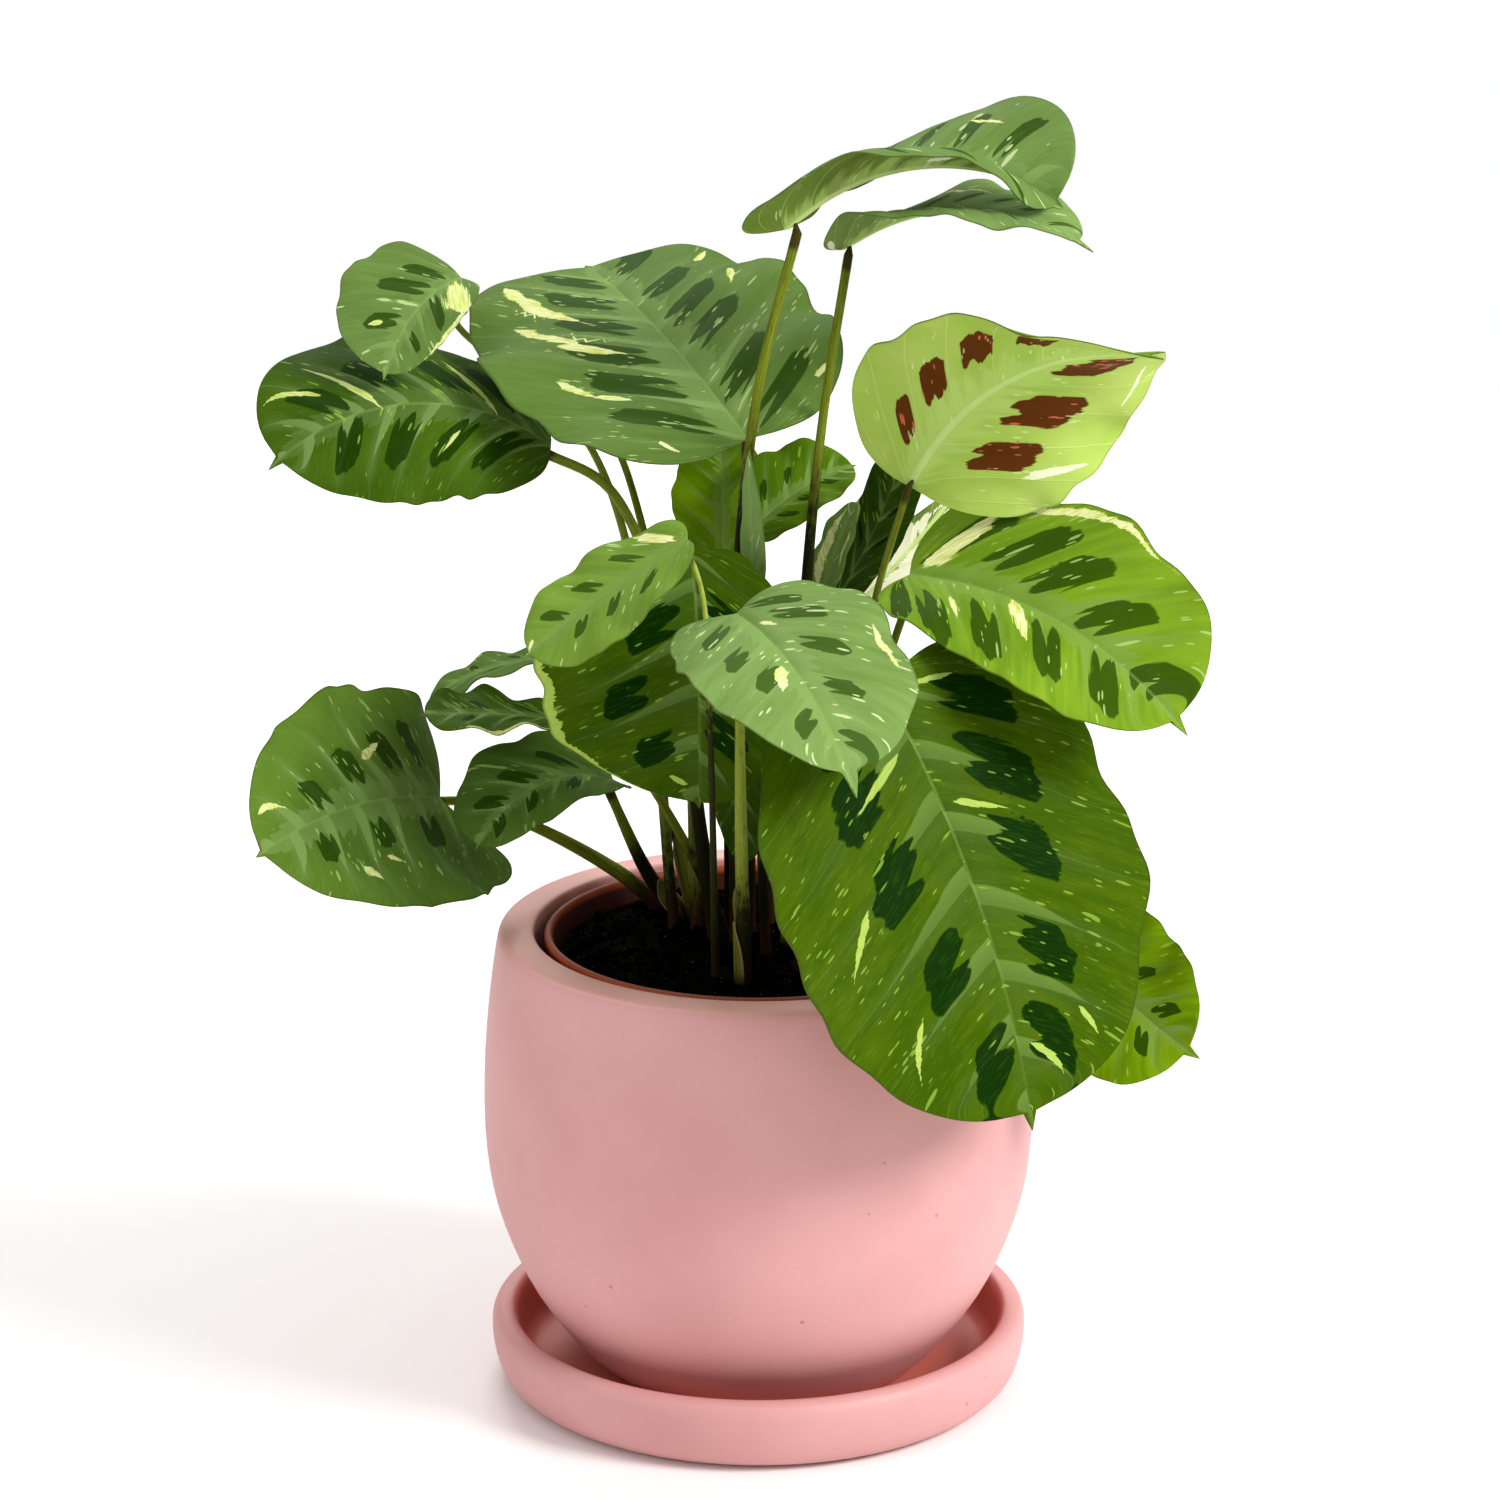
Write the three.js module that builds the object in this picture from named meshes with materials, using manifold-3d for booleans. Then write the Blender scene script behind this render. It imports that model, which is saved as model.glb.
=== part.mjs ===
// Potted prayer plant of the kerchoveana kind: two dozen patterned leaves on slender stalks, rooted
// in soil in a thin nursery pot, which stands inside a thick pink pot on a pink saucer.
// Millimetres and degrees, +Z up. The origin is the centre of the saucer's underside.
import * as THREE from 'three';
import { mergeVertices } from 'three/addons/utils/BufferGeometryUtils.js';
import Module from 'manifold-3d';

const wasm = await Module();
wasm.setup();

// Driving sizes of the holders and the soil
const GAP = 0.3; // clearance left between pieces that touch
const POT_SIDES = 56;
const SAUCER_FLOOR = 6; // thickness of the saucer's floor
const POT_FOOT = SAUCER_FLOOR + GAP; // height at which the outer pot stands
const POT_RIM = 134; // height of the outer pot's flat rim
const POT_OPENING = 62.8; // inner radius at the rim
const POT_FLOOR = 16; // top of the outer pot's floor
const POT_DRAIN = 7; // radius of the hole in the outer pot's floor
const LINER_FOOT = POT_FLOOR + GAP;
const LINER_RIM = 133;
const LINER_WALL = 1.2;
const LINER_DRAIN = { radius: 3.5, ring: 24, count: 6 };
const SOIL_EDGE = 126.5; // height of the soil where it meets the nursery pot
const SOIL_CROWN = 127.4; // and in the middle, where it is slightly mounded

// Driving sizes shared by all leaves
const BLADE = 0.7; // thickness of a leaf blade
const STATIONS = 12; // rows of a blade from base to tip
const ACROSS = 3; // faces of a blade on each side of its midrib
const MIDRIB_STEPS = 40; // steps used to walk along a midrib
const POINT_START = 0.965; // share of the length at which the rounded outline closes on the point
const STALK_SIDES = 6;
const STALK_STEPS = 9;
const STALK_DEPTH = 8; // how far a stalk goes down into the soil
const STALK_TOP = 0.98; // radius just under the blade, as a share of the stalk's
const HOLE_CLEARANCE = 0.4;

// Each leaf grows from the base point, where stalk and blade meet. Its heading is measured from +X
// (0 to the right, 90 away, 180 to the left), its pitch from level. Droop and swing turn the midrib
// down and sideways along its length, roll and twist turn the blade about it. The two half widths
// are those left and right of the midrib, seen from the base; fold raises both halves into a V, and
// cup curls them further towards the margins. The lobe says how far the base reaches back.
// Some leaves also have a turn, the stretch of the midrib in which all the twist lies, a crease,
// which is extra fold at the base that fades towards the tip, or a longer drawn out tip. A pair of
// lobes or creases is for the left and the right half.
const LEAVES = [
  {
    name: 'upper_left', base: [-83.5, 53, 307.5], length: 47, widths: [12, 22],
    heading: 235, pitch: -3, droop: 52, swing: 11, roll: 26, twist: 5, fold: 7, cup: -1, lobe: 0.11,
    tip: 0.95, wave: 1, foot: [-24, 18], thick: 1.3,
    via: [[-34, 33, 222], [-50, 52, 263], [-78, 65, 284], [-86, 58, 295]],
  },
  {
    name: 'left_broad', base: [-58, 32, 264], length: 88, widths: [31, 38],
    heading: 194, pitch: 40, droop: 81, swing: 10, roll: 24, twist: 20, fold: -6, cup: -17, lobe: 0.05,
    tip: 0.95, wave: 1.5, foot: [-17, 17], via: [[-21, 20, 195], [-41, 28, 252]], thick: 1.9, ease: 0.5,
  },
  {
    name: 'crown_broad', base: [-3, 2, 273], length: 115, widths: [53, 44],
    heading: 121, pitch: 27, droop: 25, swing: -11, roll: 17, twist: -11, fold: 11, cup: -14, lobe: 0.14,
    wave: 2.5, foot: [-3, 15], via: [[-3, 11, 190]], thick: 1.8,
  },
  {
    name: 'top_twisted', base: [8, -4, 332], length: 82, widths: [38, 19],
    heading: -5, pitch: 46, droop: 85, swing: 20, roll: 9, twist: -108, turn: [0.45, 1.3],
    fold: 48, crease: [-25, 29], cup: -80, lobe: [0.2, 0.37], tip: 0.96,
    wave: 1.5, foot: [-6, 5], via: [[-6, -3, 230], [0, -7, 290]], thick: 1.8,
  },
  {
    name: 'top_narrow', base: [23, 14, 323], length: 76, widths: [24, 23],
    heading: -21, pitch: 38, droop: 69, swing: -2, roll: 24, twist: -23, turn: [0.07, 0.61],
    fold: 12, crease: [32, -12], cup: -17, lobe: [0.09, 0.1], tip: 0.93,
    wave: 1.5, foot: [9, 3], via: [[12, 3, 215], [17, 3, 275]], thick: 1.7,
  },
  {
    name: 'raised_light', base: [41, -8, 262], length: 98, widths: [42, 32],
    heading: -41, pitch: 62, droop: 65, swing: 6, roll: 70, twist: -65, fold: 5, cup: -3, lobe: 0.04,
    tip: 0.93, wave: 1.5, foot: [17, 4], via: [[31, -3, 225]], thick: 1.3,
  },
  {
    name: 'right_round', base: [41, -11, 238], length: 96, widths: [34, 31],
    heading: -34, pitch: 5, droop: 49, swing: -1, roll: -24, twist: -12, fold: 13, cup: 4, lobe: 0.13,
    tip: 0.94, wave: 1.5, foot: [21, -8], via: [[29, -9, 190]], thick: 1.5,
  },
  {
    name: 'front_hanging', base: [33, -57, 219], length: 125, widths: [55, 61],
    heading: -38, pitch: -53, droop: 27, swing: 3, roll: -18, twist: 1, fold: 4, cup: -7, lobe: 0.2,
    tip: 0.955, wave: 1.5, foot: [12, -18], via: [[22, -36, 185]], thick: 2,
  },
  {
    name: 'centre_pale', base: [-6, -52, 238], length: 73, widths: [31, 30],
    heading: -61, pitch: -3, droop: 53, swing: 3, roll: -19, twist: 30, fold: 14, cup: -19, lobe: 0.1,
    tip: 0.9, wave: 1.5, foot: [-4, -29], via: [[-5, -43, 185]], thick: 1.7,
  },
  {
    name: 'young_folded', base: [-19, -51, 258], length: 53, widths: [21, 16],
    heading: 184, pitch: -33, droop: 4, swing: 9, roll: 14, twist: 17, fold: 9, cup: -6, lobe: 0.13,
    wave: 1, foot: [-12, -24], via: [[-13, -45, 200], [-15, -51, 243]], thick: 0.9,
  },
  {
    name: 'dark_hanging', base: [-18, -18, 245], length: 72, widths: [24, 44],
    heading: -83, pitch: -46, droop: 62, swing: -3, roll: -4, twist: -12, fold: 3, cup: -9, lobe: 0.13,
    wave: 1.5, foot: [-12, 8], via: [[-18, -4, 180]], thick: 1.9,
  },
  {
    name: 'far_left', base: [-90, 20, 165], length: 90, widths: [41, 33],
    heading: 240, pitch: 19, droop: 29, swing: 0, roll: 58, twist: -7, fold: 12, cup: 21, lobe: [0.38, 0.13],
    wave: 2, foot: [-29, 35], via: [[-38, 34, 137], [-62, 29, 153], [-83, 26, 162]], thick: 1.8, ease: 0.6,
  },
  {
    name: 'left_low', base: [-41, 15, 172], length: 53, widths: [18, 19],
    heading: 216, pitch: 25, droop: 77, swing: 6, roll: 14, twist: 1, fold: 10, cup: 7, lobe: 0.11,
    wave: 1, foot: [-23, 30], via: [[-31, 26, 140]], thick: 1.9,
  },
  {
    name: 'left_lower_edge', base: [-52, 5, 192], length: 43, widths: [16, 15],
    heading: 195, pitch: 12, droop: 11, swing: -2, roll: -5, twist: 21, fold: 3, cup: 6, lobe: 0.12,
    wave: 1.5, foot: [-10, 14], via: [[-19, 12, 151], [-38, 8, 182]], thick: 1.3,
  },
  {
    name: 'left_upper_edge', base: [-59, 25, 204], length: 39, widths: [15, 15],
    heading: 170, pitch: -3, droop: 38, swing: 0, roll: -6, twist: 17, fold: 4, cup: -3, lobe: 0.12,
    wave: 1, foot: [-18, 27], via: [[-25, 29, 155], [-44, 29, 190]], thick: 1.3,
  },
  {
    name: 'right_low', base: [81, -26, 143], length: 55, widths: [22, 24],
    heading: -29, pitch: -44, droop: -18, swing: -1, roll: -52, twist: -21, fold: 11, cup: 2, lobe: 0.12,
    tip: 0.92, wave: 1.5, foot: [29, -14], via: [[40, -16, 152], [62, -20, 156]], thick: 1.4,
  },
  {
    name: 'inner_spotted', base: [-2, 13, 244], length: 36, widths: [15, 12],
    heading: 23, pitch: 44, droop: 34, swing: 1, roll: -32, twist: 5, fold: 10, cup: 12, lobe: 0.12,
    wave: 1, foot: [3, 23], via: [[1, 20, 190]], thick: 1.3,
  },
  {
    name: 'inner_upright', base: [-10, 27, 231], length: 39, widths: [14, 13],
    heading: 92, pitch: 86, droop: 20, swing: 1, roll: 6, twist: 5, fold: 5, cup: 6, lobe: 0.08,
    wave: 1, foot: [-8, 26], via: [[-9, 26, 180]], thick: 1.3,
  },
  {
    name: 'inner_striped', base: [18, 6, 228], length: 28, widths: [7, 6],
    heading: 38, pitch: 72, droop: 13, swing: -6, roll: -5, twist: 2, fold: 9, cup: 7, lobe: 0.12,
    wave: 0.5, foot: [14, 12], via: [[15, 10, 180]], thick: 1.2,
  },
  {
    name: 'inner_dark', base: [22, 18, 224], length: 48, widths: [11, 13],
    heading: 12, pitch: 57, droop: -16, swing: 11, roll: -10, twist: -16, fold: 4, cup: -3, lobe: 0.1,
    wave: 0.5, foot: [17, 20], via: [[19, 19, 180]], thick: 1.2,
  },
  {
    name: 'inner_white', base: [27, 30, 218], length: 41, widths: [11, 9],
    heading: 11, pitch: 45, droop: -5, swing: 3, roll: 60, twist: 0, fold: 3, cup: -5, lobe: 0.12,
    wave: 0.5, foot: [24, 27], via: [[25, 28, 175]], thick: 1.2,
  },
  {
    name: 'new_rolled', base: [-2, -11, 230], length: 43, widths: [4, 7],
    heading: 70, pitch: 89, droop: -6, swing: -12, roll: 19, twist: 20, fold: 6, cup: 2, lobe: 0.02,
    wave: 0.2, foot: [2, -5], via: [[0, -7, 180]], thick: 1.2,
  },
  {
    name: 'inner_drooping', base: [-6, -13, 192], length: 35, widths: [8, 9],
    heading: -75, pitch: -79, droop: -4, swing: 11, roll: 6, twist: 13, fold: 5, cup: -2, lobe: 0.13,
    wave: 0.5, foot: [-4, -13], via: [[-5, -12, 165]], thick: 1.2,
  },
  {
    name: 'back_hidden', base: [-45, 72, 266], length: 69, widths: [23, 24],
    heading: 104, pitch: 13, droop: 32, swing: 0, roll: 9, twist: 3, fold: 8, cup: 4, lobe: 0.13,
    wave: 1.5, foot: [-13, 32], via: [[-25, 31, 205], [-36, 44, 250]], thick: 1.4,
  },
];

const radians = THREE.MathUtils.degToRad;
const vector = (xyz) => new THREE.Vector3(...xyz);

// A geometry with its shared vertices merged, its empty faces dropped and its faces pointing out.
function closedGeometry(source) {
  const bare = source.index ? source.clone() : mergeVertices(source);
  bare.deleteAttribute('normal');
  bare.deleteAttribute('uv');
  const merged = mergeVertices(bare, 1e-4);
  const place = merged.getAttribute('position');
  const corner = [0, 1, 2].map(() => new THREE.Vector3());
  const faces = [];
  let volume = 0;
  for (let i = 0; i < merged.index.count; i += 3) {
    const face = [0, 1, 2].map((k) => merged.index.getX(i + k));
    if (new Set(face).size < 3) continue;
    face.forEach((vertex, k) => corner[k].fromBufferAttribute(place, vertex));
    volume += corner[0].dot(corner[1].clone().cross(corner[2]));
    faces.push(face);
  }
  const outward = volume > 0 ? faces : faces.map(([a, b, c]) => [a, c, b]);
  merged.setIndex(outward.flat());
  return merged;
}

function toSolid(geometry) {
  const closed = closedGeometry(geometry);
  return new wasm.Manifold(new wasm.Mesh({
    numProp: 3,
    vertProperties: new Float32Array(closed.getAttribute('position').array),
    triVerts: new Uint32Array(closed.index.array),
  }));
}

function fromSolid(solid) {
  const mesh = solid.getMesh();
  const geometry = new THREE.BufferGeometry();
  geometry.setAttribute('position', new THREE.BufferAttribute(new Float32Array(mesh.vertProperties), 3));
  geometry.setIndex([...mesh.triVerts]);
  return geometry;
}

function namedMesh(name, geometry, { color, roughness = 0.6 }) {
  const flat = closedGeometry(geometry);
  flat.computeVertexNormals();
  const mesh = new THREE.Mesh(flat, new THREE.MeshStandardMaterial({ color, roughness, metalness: 0 }));
  mesh.name = name;
  return mesh;
}

// A turned piece from its half section, given as [radius, height] pairs, standing along +Z.
function turned(section, sides = POT_SIDES) {
  const points = section.map(([radius, height]) => new THREE.Vector2(radius, height));
  return new THREE.LatheGeometry(points, sides).rotateX(Math.PI / 2);
}

function drilled(geometry, holes) {
  let solid = toSolid(geometry);
  for (const { x = 0, y = 0, radius, from, to, sides = 16 } of holes) {
    const bore = new THREE.CylinderGeometry(radius, radius, to - from, sides)
      .rotateX(Math.PI / 2)
      .translate(x, y, (from + to) / 2);
    solid = solid.subtract(toSolid(bore));
  }
  return fromSolid(solid);
}

// Saucer: a low dish with a thick rounded wall.
function saucer() {
  return turned([
    [0, 0], [66.5, 0], [70.5, 1.2], [73.4, 3.6], [74.9, 7], [76.1, 12], [76.3, 17], [75.8, 19.6],
    [74, 21.1], [71.4, 21.2], [69.4, 20.4], [68.6, 18], [67.4, 9.5], [65, 6.8], [61, SAUCER_FLOOR],
    [0, SAUCER_FLOOR],
  ]);
}

// Outer pot: bellied, with a thick wall and a flat rim.
function outerPot() {
  const body = turned([
    [0, POT_FOOT], [45, POT_FOOT], [52, 12], [58.6, 20.5], [65, 30], [69.2, 39], [73, 49], [75.6, 58],
    [77.2, 69], [77.8, 82], [77.3, 98], [75.9, 114], [74.2, 126], [73.2, 132.2], [72, POT_RIM],
    [POT_OPENING + 1, POT_RIM], [POT_OPENING, POT_RIM - 1], [POT_OPENING + 0.4, 118], [64, 85],
    [61, 55], [55, 32], [49.5, 20], [46, POT_FLOOR], [0, POT_FLOOR],
  ]);
  return drilled(body, [{ radius: POT_DRAIN, from: 0, to: POT_FLOOR + 2 }]);
}

// Nursery pot: thin and tapered, with a rolled rim and drain holes near the edge of its floor.
function nurseryPot() {
  const wall = turned([
    [0, LINER_FOOT], [43, LINER_FOOT], [44.5, LINER_FOOT + 1.5], [57.4, 124], [57.9, 127.2],
    [59.8, 127.8], [60.1, 129], [60.1, 132], [59.4, LINER_RIM], [58.4, LINER_RIM],
    [57.9, 132.2], [56.2, 124], [43.2, LINER_FOOT + 2.2], [42.4, LINER_FOOT + LINER_WALL],
    [0, LINER_FOOT + LINER_WALL],
  ], 48);
  const holes = [];
  for (let i = 0; i < LINER_DRAIN.count; i += 1) {
    const angle = (2 * Math.PI * i) / LINER_DRAIN.count;
    holes.push({
      x: LINER_DRAIN.ring * Math.cos(angle), y: LINER_DRAIN.ring * Math.sin(angle),
      radius: LINER_DRAIN.radius, from: LINER_FOOT - 1, to: LINER_FOOT + 3, sides: 10,
    });
  }
  return drilled(wall, holes);
}

// Soil: fills the nursery pot to just below its rim, with a plain hole for every stalk.
function soil() {
  let solid = toSolid(turned([
    [0, LINER_FOOT + LINER_WALL + GAP], [41.6, LINER_FOOT + LINER_WALL + GAP],
    [42.6, LINER_FOOT + 2.8], [55.5, 122.5], [55.9, SOIL_EDGE], [40, SOIL_CROWN - 0.2], [0, SOIL_CROWN],
  ], 40));
  for (const leaf of LEAVES) {
    const hole = stalkGeometry(leaf, { socket: true });
    solid = solid.subtract(toSolid(hole));
  }
  return fromSolid(solid);
}

// Share of the half width at u, from 0 at the base to 1 at the tip: a broad rounded outline,
// widest just below the middle, that ends in a short drawn out point.
function outline(leaf, u) {
  const start = leaf.tip ?? POINT_START;
  const q = Math.min(Math.abs(2 * (u / start) ** 0.95 - 1), 1);
  const round = u > start ? 0 : (1 - q ** 2.15) ** (1 / 2.15);
  const point = 0.9 * (1 - u) * THREE.MathUtils.clamp((u - 0.5) / 0.3, 0, 1);
  return (round ** 4 + point ** 4) ** 0.25;
}

// The value of a pair that belongs to the left (0) or right (1) half, or the one value for both.
function sided(value, side) {
  return Array.isArray(value) ? value[side] : value;
}

// Point on the midrib at u, with the directions along the blade, to its right and up from it.
function midribFrame(leaf, u) {
  const direction = (share) => {
    const turn = radians(leaf.heading + leaf.swing * share);
    const rise = radians(leaf.pitch - leaf.droop * share);
    return new THREE.Vector3(
      Math.cos(rise) * Math.cos(turn), Math.cos(rise) * Math.sin(turn), Math.sin(rise),
    );
  };
  const place = vector(leaf.base);
  const stride = u / MIDRIB_STEPS;
  for (let i = 0; i < MIDRIB_STEPS; i += 1) {
    place.addScaledVector(direction((i + 0.5) * stride), leaf.length * stride);
  }
  const along = direction(u);
  const turn = radians(leaf.heading + leaf.swing * u);
  const level = new THREE.Vector3(Math.sin(turn), -Math.cos(turn), 0);
  const raised = level.clone().cross(along);
  const twisted = leaf.turn ? THREE.MathUtils.smoothstep(u, ...leaf.turn) : u;
  const roll = radians(leaf.roll + leaf.twist * twisted);
  const right = level.multiplyScalar(Math.cos(roll)).addScaledVector(raised, Math.sin(roll));
  const up = right.clone().cross(along);
  return { place, along, right, up };
}

// Point of the blade's middle surface at u along it and v across it, -1 and 1 being the margins.
function bladePoint(leaf, u, v) {
  const { place, along, right, up } = midribFrame(leaf, u);
  const side = v > 0 ? 1 : 0;
  const halfWidth = leaf.widths[side];
  const share = outline(leaf, u);
  const reach = Math.abs(v) * halfWidth * share;
  const fold = radians(leaf.fold + sided(leaf.crease ?? 0, side) * (1 - u) ** 2);
  const curl = radians(leaf.cup) / halfWidth;
  const out = (Math.sin(fold + curl * reach) - Math.sin(fold)) / curl;
  const lift = (Math.cos(fold) - Math.cos(fold + curl * reach)) / curl;
  const phase = leaf.base[0] + (v > 0 ? 0 : 2.1);
  const ripple = leaf.wave * v * v * share * Math.sin(6 * Math.PI * u + phase);
  const back = sided(leaf.lobe, side) * leaf.length * (1 - u) ** 4 * share * Math.abs(v);
  return place
    .addScaledVector(along, -back)
    .addScaledVector(right, Math.sign(v) * out)
    .addScaledVector(up, lift + ripple);
}

// Leaf blade: two like sheets, one blade thickness apart, joined around the margin.
function bladeGeometry(leaf) {
  const columns = 2 * ACROSS + 1;
  const rows = [];
  for (let i = 1; i < STATIONS; i += 1) {
    const u = (1 - Math.cos((Math.PI * i) / STATIONS)) / 2;
    rows.push(Array.from({ length: columns }, (_, j) => bladePoint(leaf, u, j / ACROSS - 1)));
  }
  const middle = [bladePoint(leaf, 0, 0), ...rows.flat(), bladePoint(leaf, 1, 0)];
  const index = (row, column) => 1 + row * columns + column;
  const last = middle.length - 1;
  const sheet = [];
  for (let j = 0; j < columns - 1; j += 1) {
    sheet.push([0, index(0, j + 1), index(0, j)]);
    sheet.push([last, index(rows.length - 1, j), index(rows.length - 1, j + 1)]);
    for (let i = 0; i < rows.length - 1; i += 1) {
      const corners = [index(i, j), index(i, j + 1), index(i + 1, j + 1), index(i + 1, j)];
      const rising = j < ACROSS;
      if (rising) {
        sheet.push([corners[0], corners[1], corners[2]], [corners[0], corners[2], corners[3]]);
      } else {
        sheet.push([corners[0], corners[1], corners[3]], [corners[1], corners[2], corners[3]]);
      }
    }
  }
  const margin = [0];
  for (let i = 0; i < rows.length; i += 1) margin.push(index(i, columns - 1));
  margin.push(last);
  for (let i = rows.length - 1; i >= 0; i -= 1) margin.push(index(i, 0));

  const surface = new THREE.BufferGeometry().setFromPoints(middle);
  surface.setIndex(sheet.flat());
  surface.computeVertexNormals();
  const normals = surface.getAttribute('normal');
  const shifted = (side) => middle.map((point, i) => (
    point.clone().addScaledVector(new THREE.Vector3().fromBufferAttribute(normals, i), side)
  ));
  const count = middle.length;
  const faces = sheet.flatMap(([a, b, c]) => [[a, b, c], [c + count, b + count, a + count]]);
  margin.forEach((a, i) => {
    const b = margin[(i + 1) % margin.length];
    faces.push([b, a, a + count], [b, a + count, b + count]);
  });
  const solid = new THREE.BufferGeometry()
    .setFromPoints([...shifted(BLADE / 2), ...shifted(-BLADE / 2)]);
  solid.setIndex(faces.flat());
  return solid;
}

// Route of a stalk: up from the soil, along its bends, and on to the underside of the blade's base,
// where its end face, however it is tilted, clears the blade by the usual gap. A stalk that comes in
// from the side, under one half of the blade, is eased down a little more.
function stalkRoute(leaf, collar) {
  const { place, along, up } = midribFrame(leaf, 0);
  const bends = leaf.via.map(vector);
  let drop = leaf.thick;
  let route;
  for (let pass = 0; pass < 4; pass += 1) {
    const end = place.clone().addScaledVector(up, -drop).addScaledVector(along, 1);
    route = new THREE.CatmullRomCurve3([collar, ...bends, end]);
    const tilt = route.getTangentAt(1).dot(up);
    drop = BLADE / 2 + GAP * 1.2 + leaf.thick * STALK_TOP * Math.sqrt(1 - tilt ** 2) + (leaf.ease ?? 0);
  }
  return route;
}

// Stalk: upright in its hole in the soil, then along its route to the blade. It is widest at the
// foot, where it sheathes the shoot, and swells a little just under the blade.
function stalkGeometry(leaf, { socket = false } = {}) {
  const [x, y] = leaf.foot;
  const soilTop = SOIL_CROWN + 0.8;
  const foot = new THREE.Vector3(x, y, SOIL_EDGE - STALK_DEPTH);
  const collar = new THREE.Vector3(x, y, soilTop);
  const upright = new THREE.Vector3(0, 0, 1);
  const footRadius = leaf.thick * 1.3;
  if (socket) {
    const radius = footRadius + HOLE_CLEARANCE;
    return sweptGeometry([
      { centre: foot.setZ(foot.z - GAP), radius, axis: upright },
      { centre: collar.setZ(soilTop + 5), radius, axis: upright },
    ]);
  }
  const route = stalkRoute(leaf, collar);
  const rings = [{ centre: foot, radius: footRadius, axis: upright }];
  for (let i = 0; i <= STALK_STEPS; i += 1) {
    const share = i / STALK_STEPS;
    const taper = THREE.MathUtils.lerp(footRadius, leaf.thick * 0.85, Math.min(share * 1.6, 1));
    rings.push({
      centre: route.getPointAt(share),
      radius: i === STALK_STEPS ? leaf.thick * STALK_TOP : taper,
      axis: i === 0 ? upright : route.getTangentAt(share),
    });
  }
  return sweptGeometry(rings);
}

// Closed sweep through rings, each square to its own axis and turned as little as can be.
function sweptGeometry(rings) {
  const side = new THREE.Vector3(1, 0, 0);
  const points = [];
  for (const { centre, radius, axis } of rings) {
    side.addScaledVector(axis, -side.dot(axis)).normalize();
    const other = axis.clone().cross(side);
    for (let k = 0; k < STALK_SIDES; k += 1) {
      const angle = (2 * Math.PI * k) / STALK_SIDES;
      points.push(centre.clone()
        .addScaledVector(side, radius * Math.cos(angle))
        .addScaledVector(other, radius * Math.sin(angle)));
    }
  }
  const faces = [];
  for (let i = 0; i < rings.length - 1; i += 1) {
    for (let k = 0; k < STALK_SIDES; k += 1) {
      const a = i * STALK_SIDES + k;
      const b = i * STALK_SIDES + ((k + 1) % STALK_SIDES);
      faces.push([a, b, b + STALK_SIDES], [a, b + STALK_SIDES, a + STALK_SIDES]);
    }
  }
  const top = (rings.length - 1) * STALK_SIDES;
  for (let k = 1; k < STALK_SIDES - 1; k += 1) {
    faces.push([0, k + 1, k], [top, top + k, top + k + 1]);
  }
  const geometry = new THREE.BufferGeometry().setFromPoints(points);
  geometry.setIndex(faces.flat());
  return geometry;
}

const plant = new THREE.Group();
plant.add(namedMesh('saucer', saucer(), { color: 0xdea0a0, roughness: 0.75 }));
plant.add(namedMesh('outer_pot', outerPot(), { color: 0xe0a3a3, roughness: 0.75 }));
plant.add(namedMesh('nursery_pot', nurseryPot(), { color: 0xb4532a, roughness: 0.5 }));
plant.add(namedMesh('soil', soil(), { color: 0x1c1410, roughness: 0.95 }));
for (const leaf of LEAVES) {
  const green = leaf.name === 'raised_light' ? 0xa0c85a : 0x5a8c32;
  plant.add(namedMesh(`blade_${leaf.name}`, bladeGeometry(leaf), { color: green, roughness: 0.45 }));
  plant.add(namedMesh(`stalk_${leaf.name}`, stalkGeometry(leaf), { color: 0x6c6a2a, roughness: 0.5 }));
}

export default plant;
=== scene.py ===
# %% [markdown]
# # A potted prayer plant
# Two dozen patterned leaves on slender stalks, rooted in soil in a thin orange nursery pot, which
# stands inside a thick pink pot on a pink saucer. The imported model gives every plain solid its
# place. This script loads it, puts a finer piece over each solid and gives all of them a finish.

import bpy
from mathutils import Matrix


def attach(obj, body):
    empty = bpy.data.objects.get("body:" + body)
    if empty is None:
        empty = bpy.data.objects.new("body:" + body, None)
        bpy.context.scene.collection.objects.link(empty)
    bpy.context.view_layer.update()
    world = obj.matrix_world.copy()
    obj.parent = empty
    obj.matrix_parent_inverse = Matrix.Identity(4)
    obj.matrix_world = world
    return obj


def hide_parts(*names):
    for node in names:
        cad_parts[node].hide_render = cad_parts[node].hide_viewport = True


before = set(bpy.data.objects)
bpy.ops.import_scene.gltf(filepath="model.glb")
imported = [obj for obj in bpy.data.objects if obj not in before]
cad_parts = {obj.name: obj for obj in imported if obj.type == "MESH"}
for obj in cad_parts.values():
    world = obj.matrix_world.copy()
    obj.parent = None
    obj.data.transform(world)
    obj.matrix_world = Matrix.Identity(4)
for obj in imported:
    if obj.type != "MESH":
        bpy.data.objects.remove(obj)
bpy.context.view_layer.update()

import math

import bpy
import numpy as np
from mathutils import Vector

MM = 0.001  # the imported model's values are in metres, the sizes below in millimetres

# %% [markdown]
# ## Camera
# A product photograph of a plant is taken from a few steps away with a long lens, so that near
# and far leaves keep their true proportions. Here the lens is 120 mm, the distance 1.39 m, and the
# camera looks down by 16.5 degrees, which shows just enough of the soil inside the pot.

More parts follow.
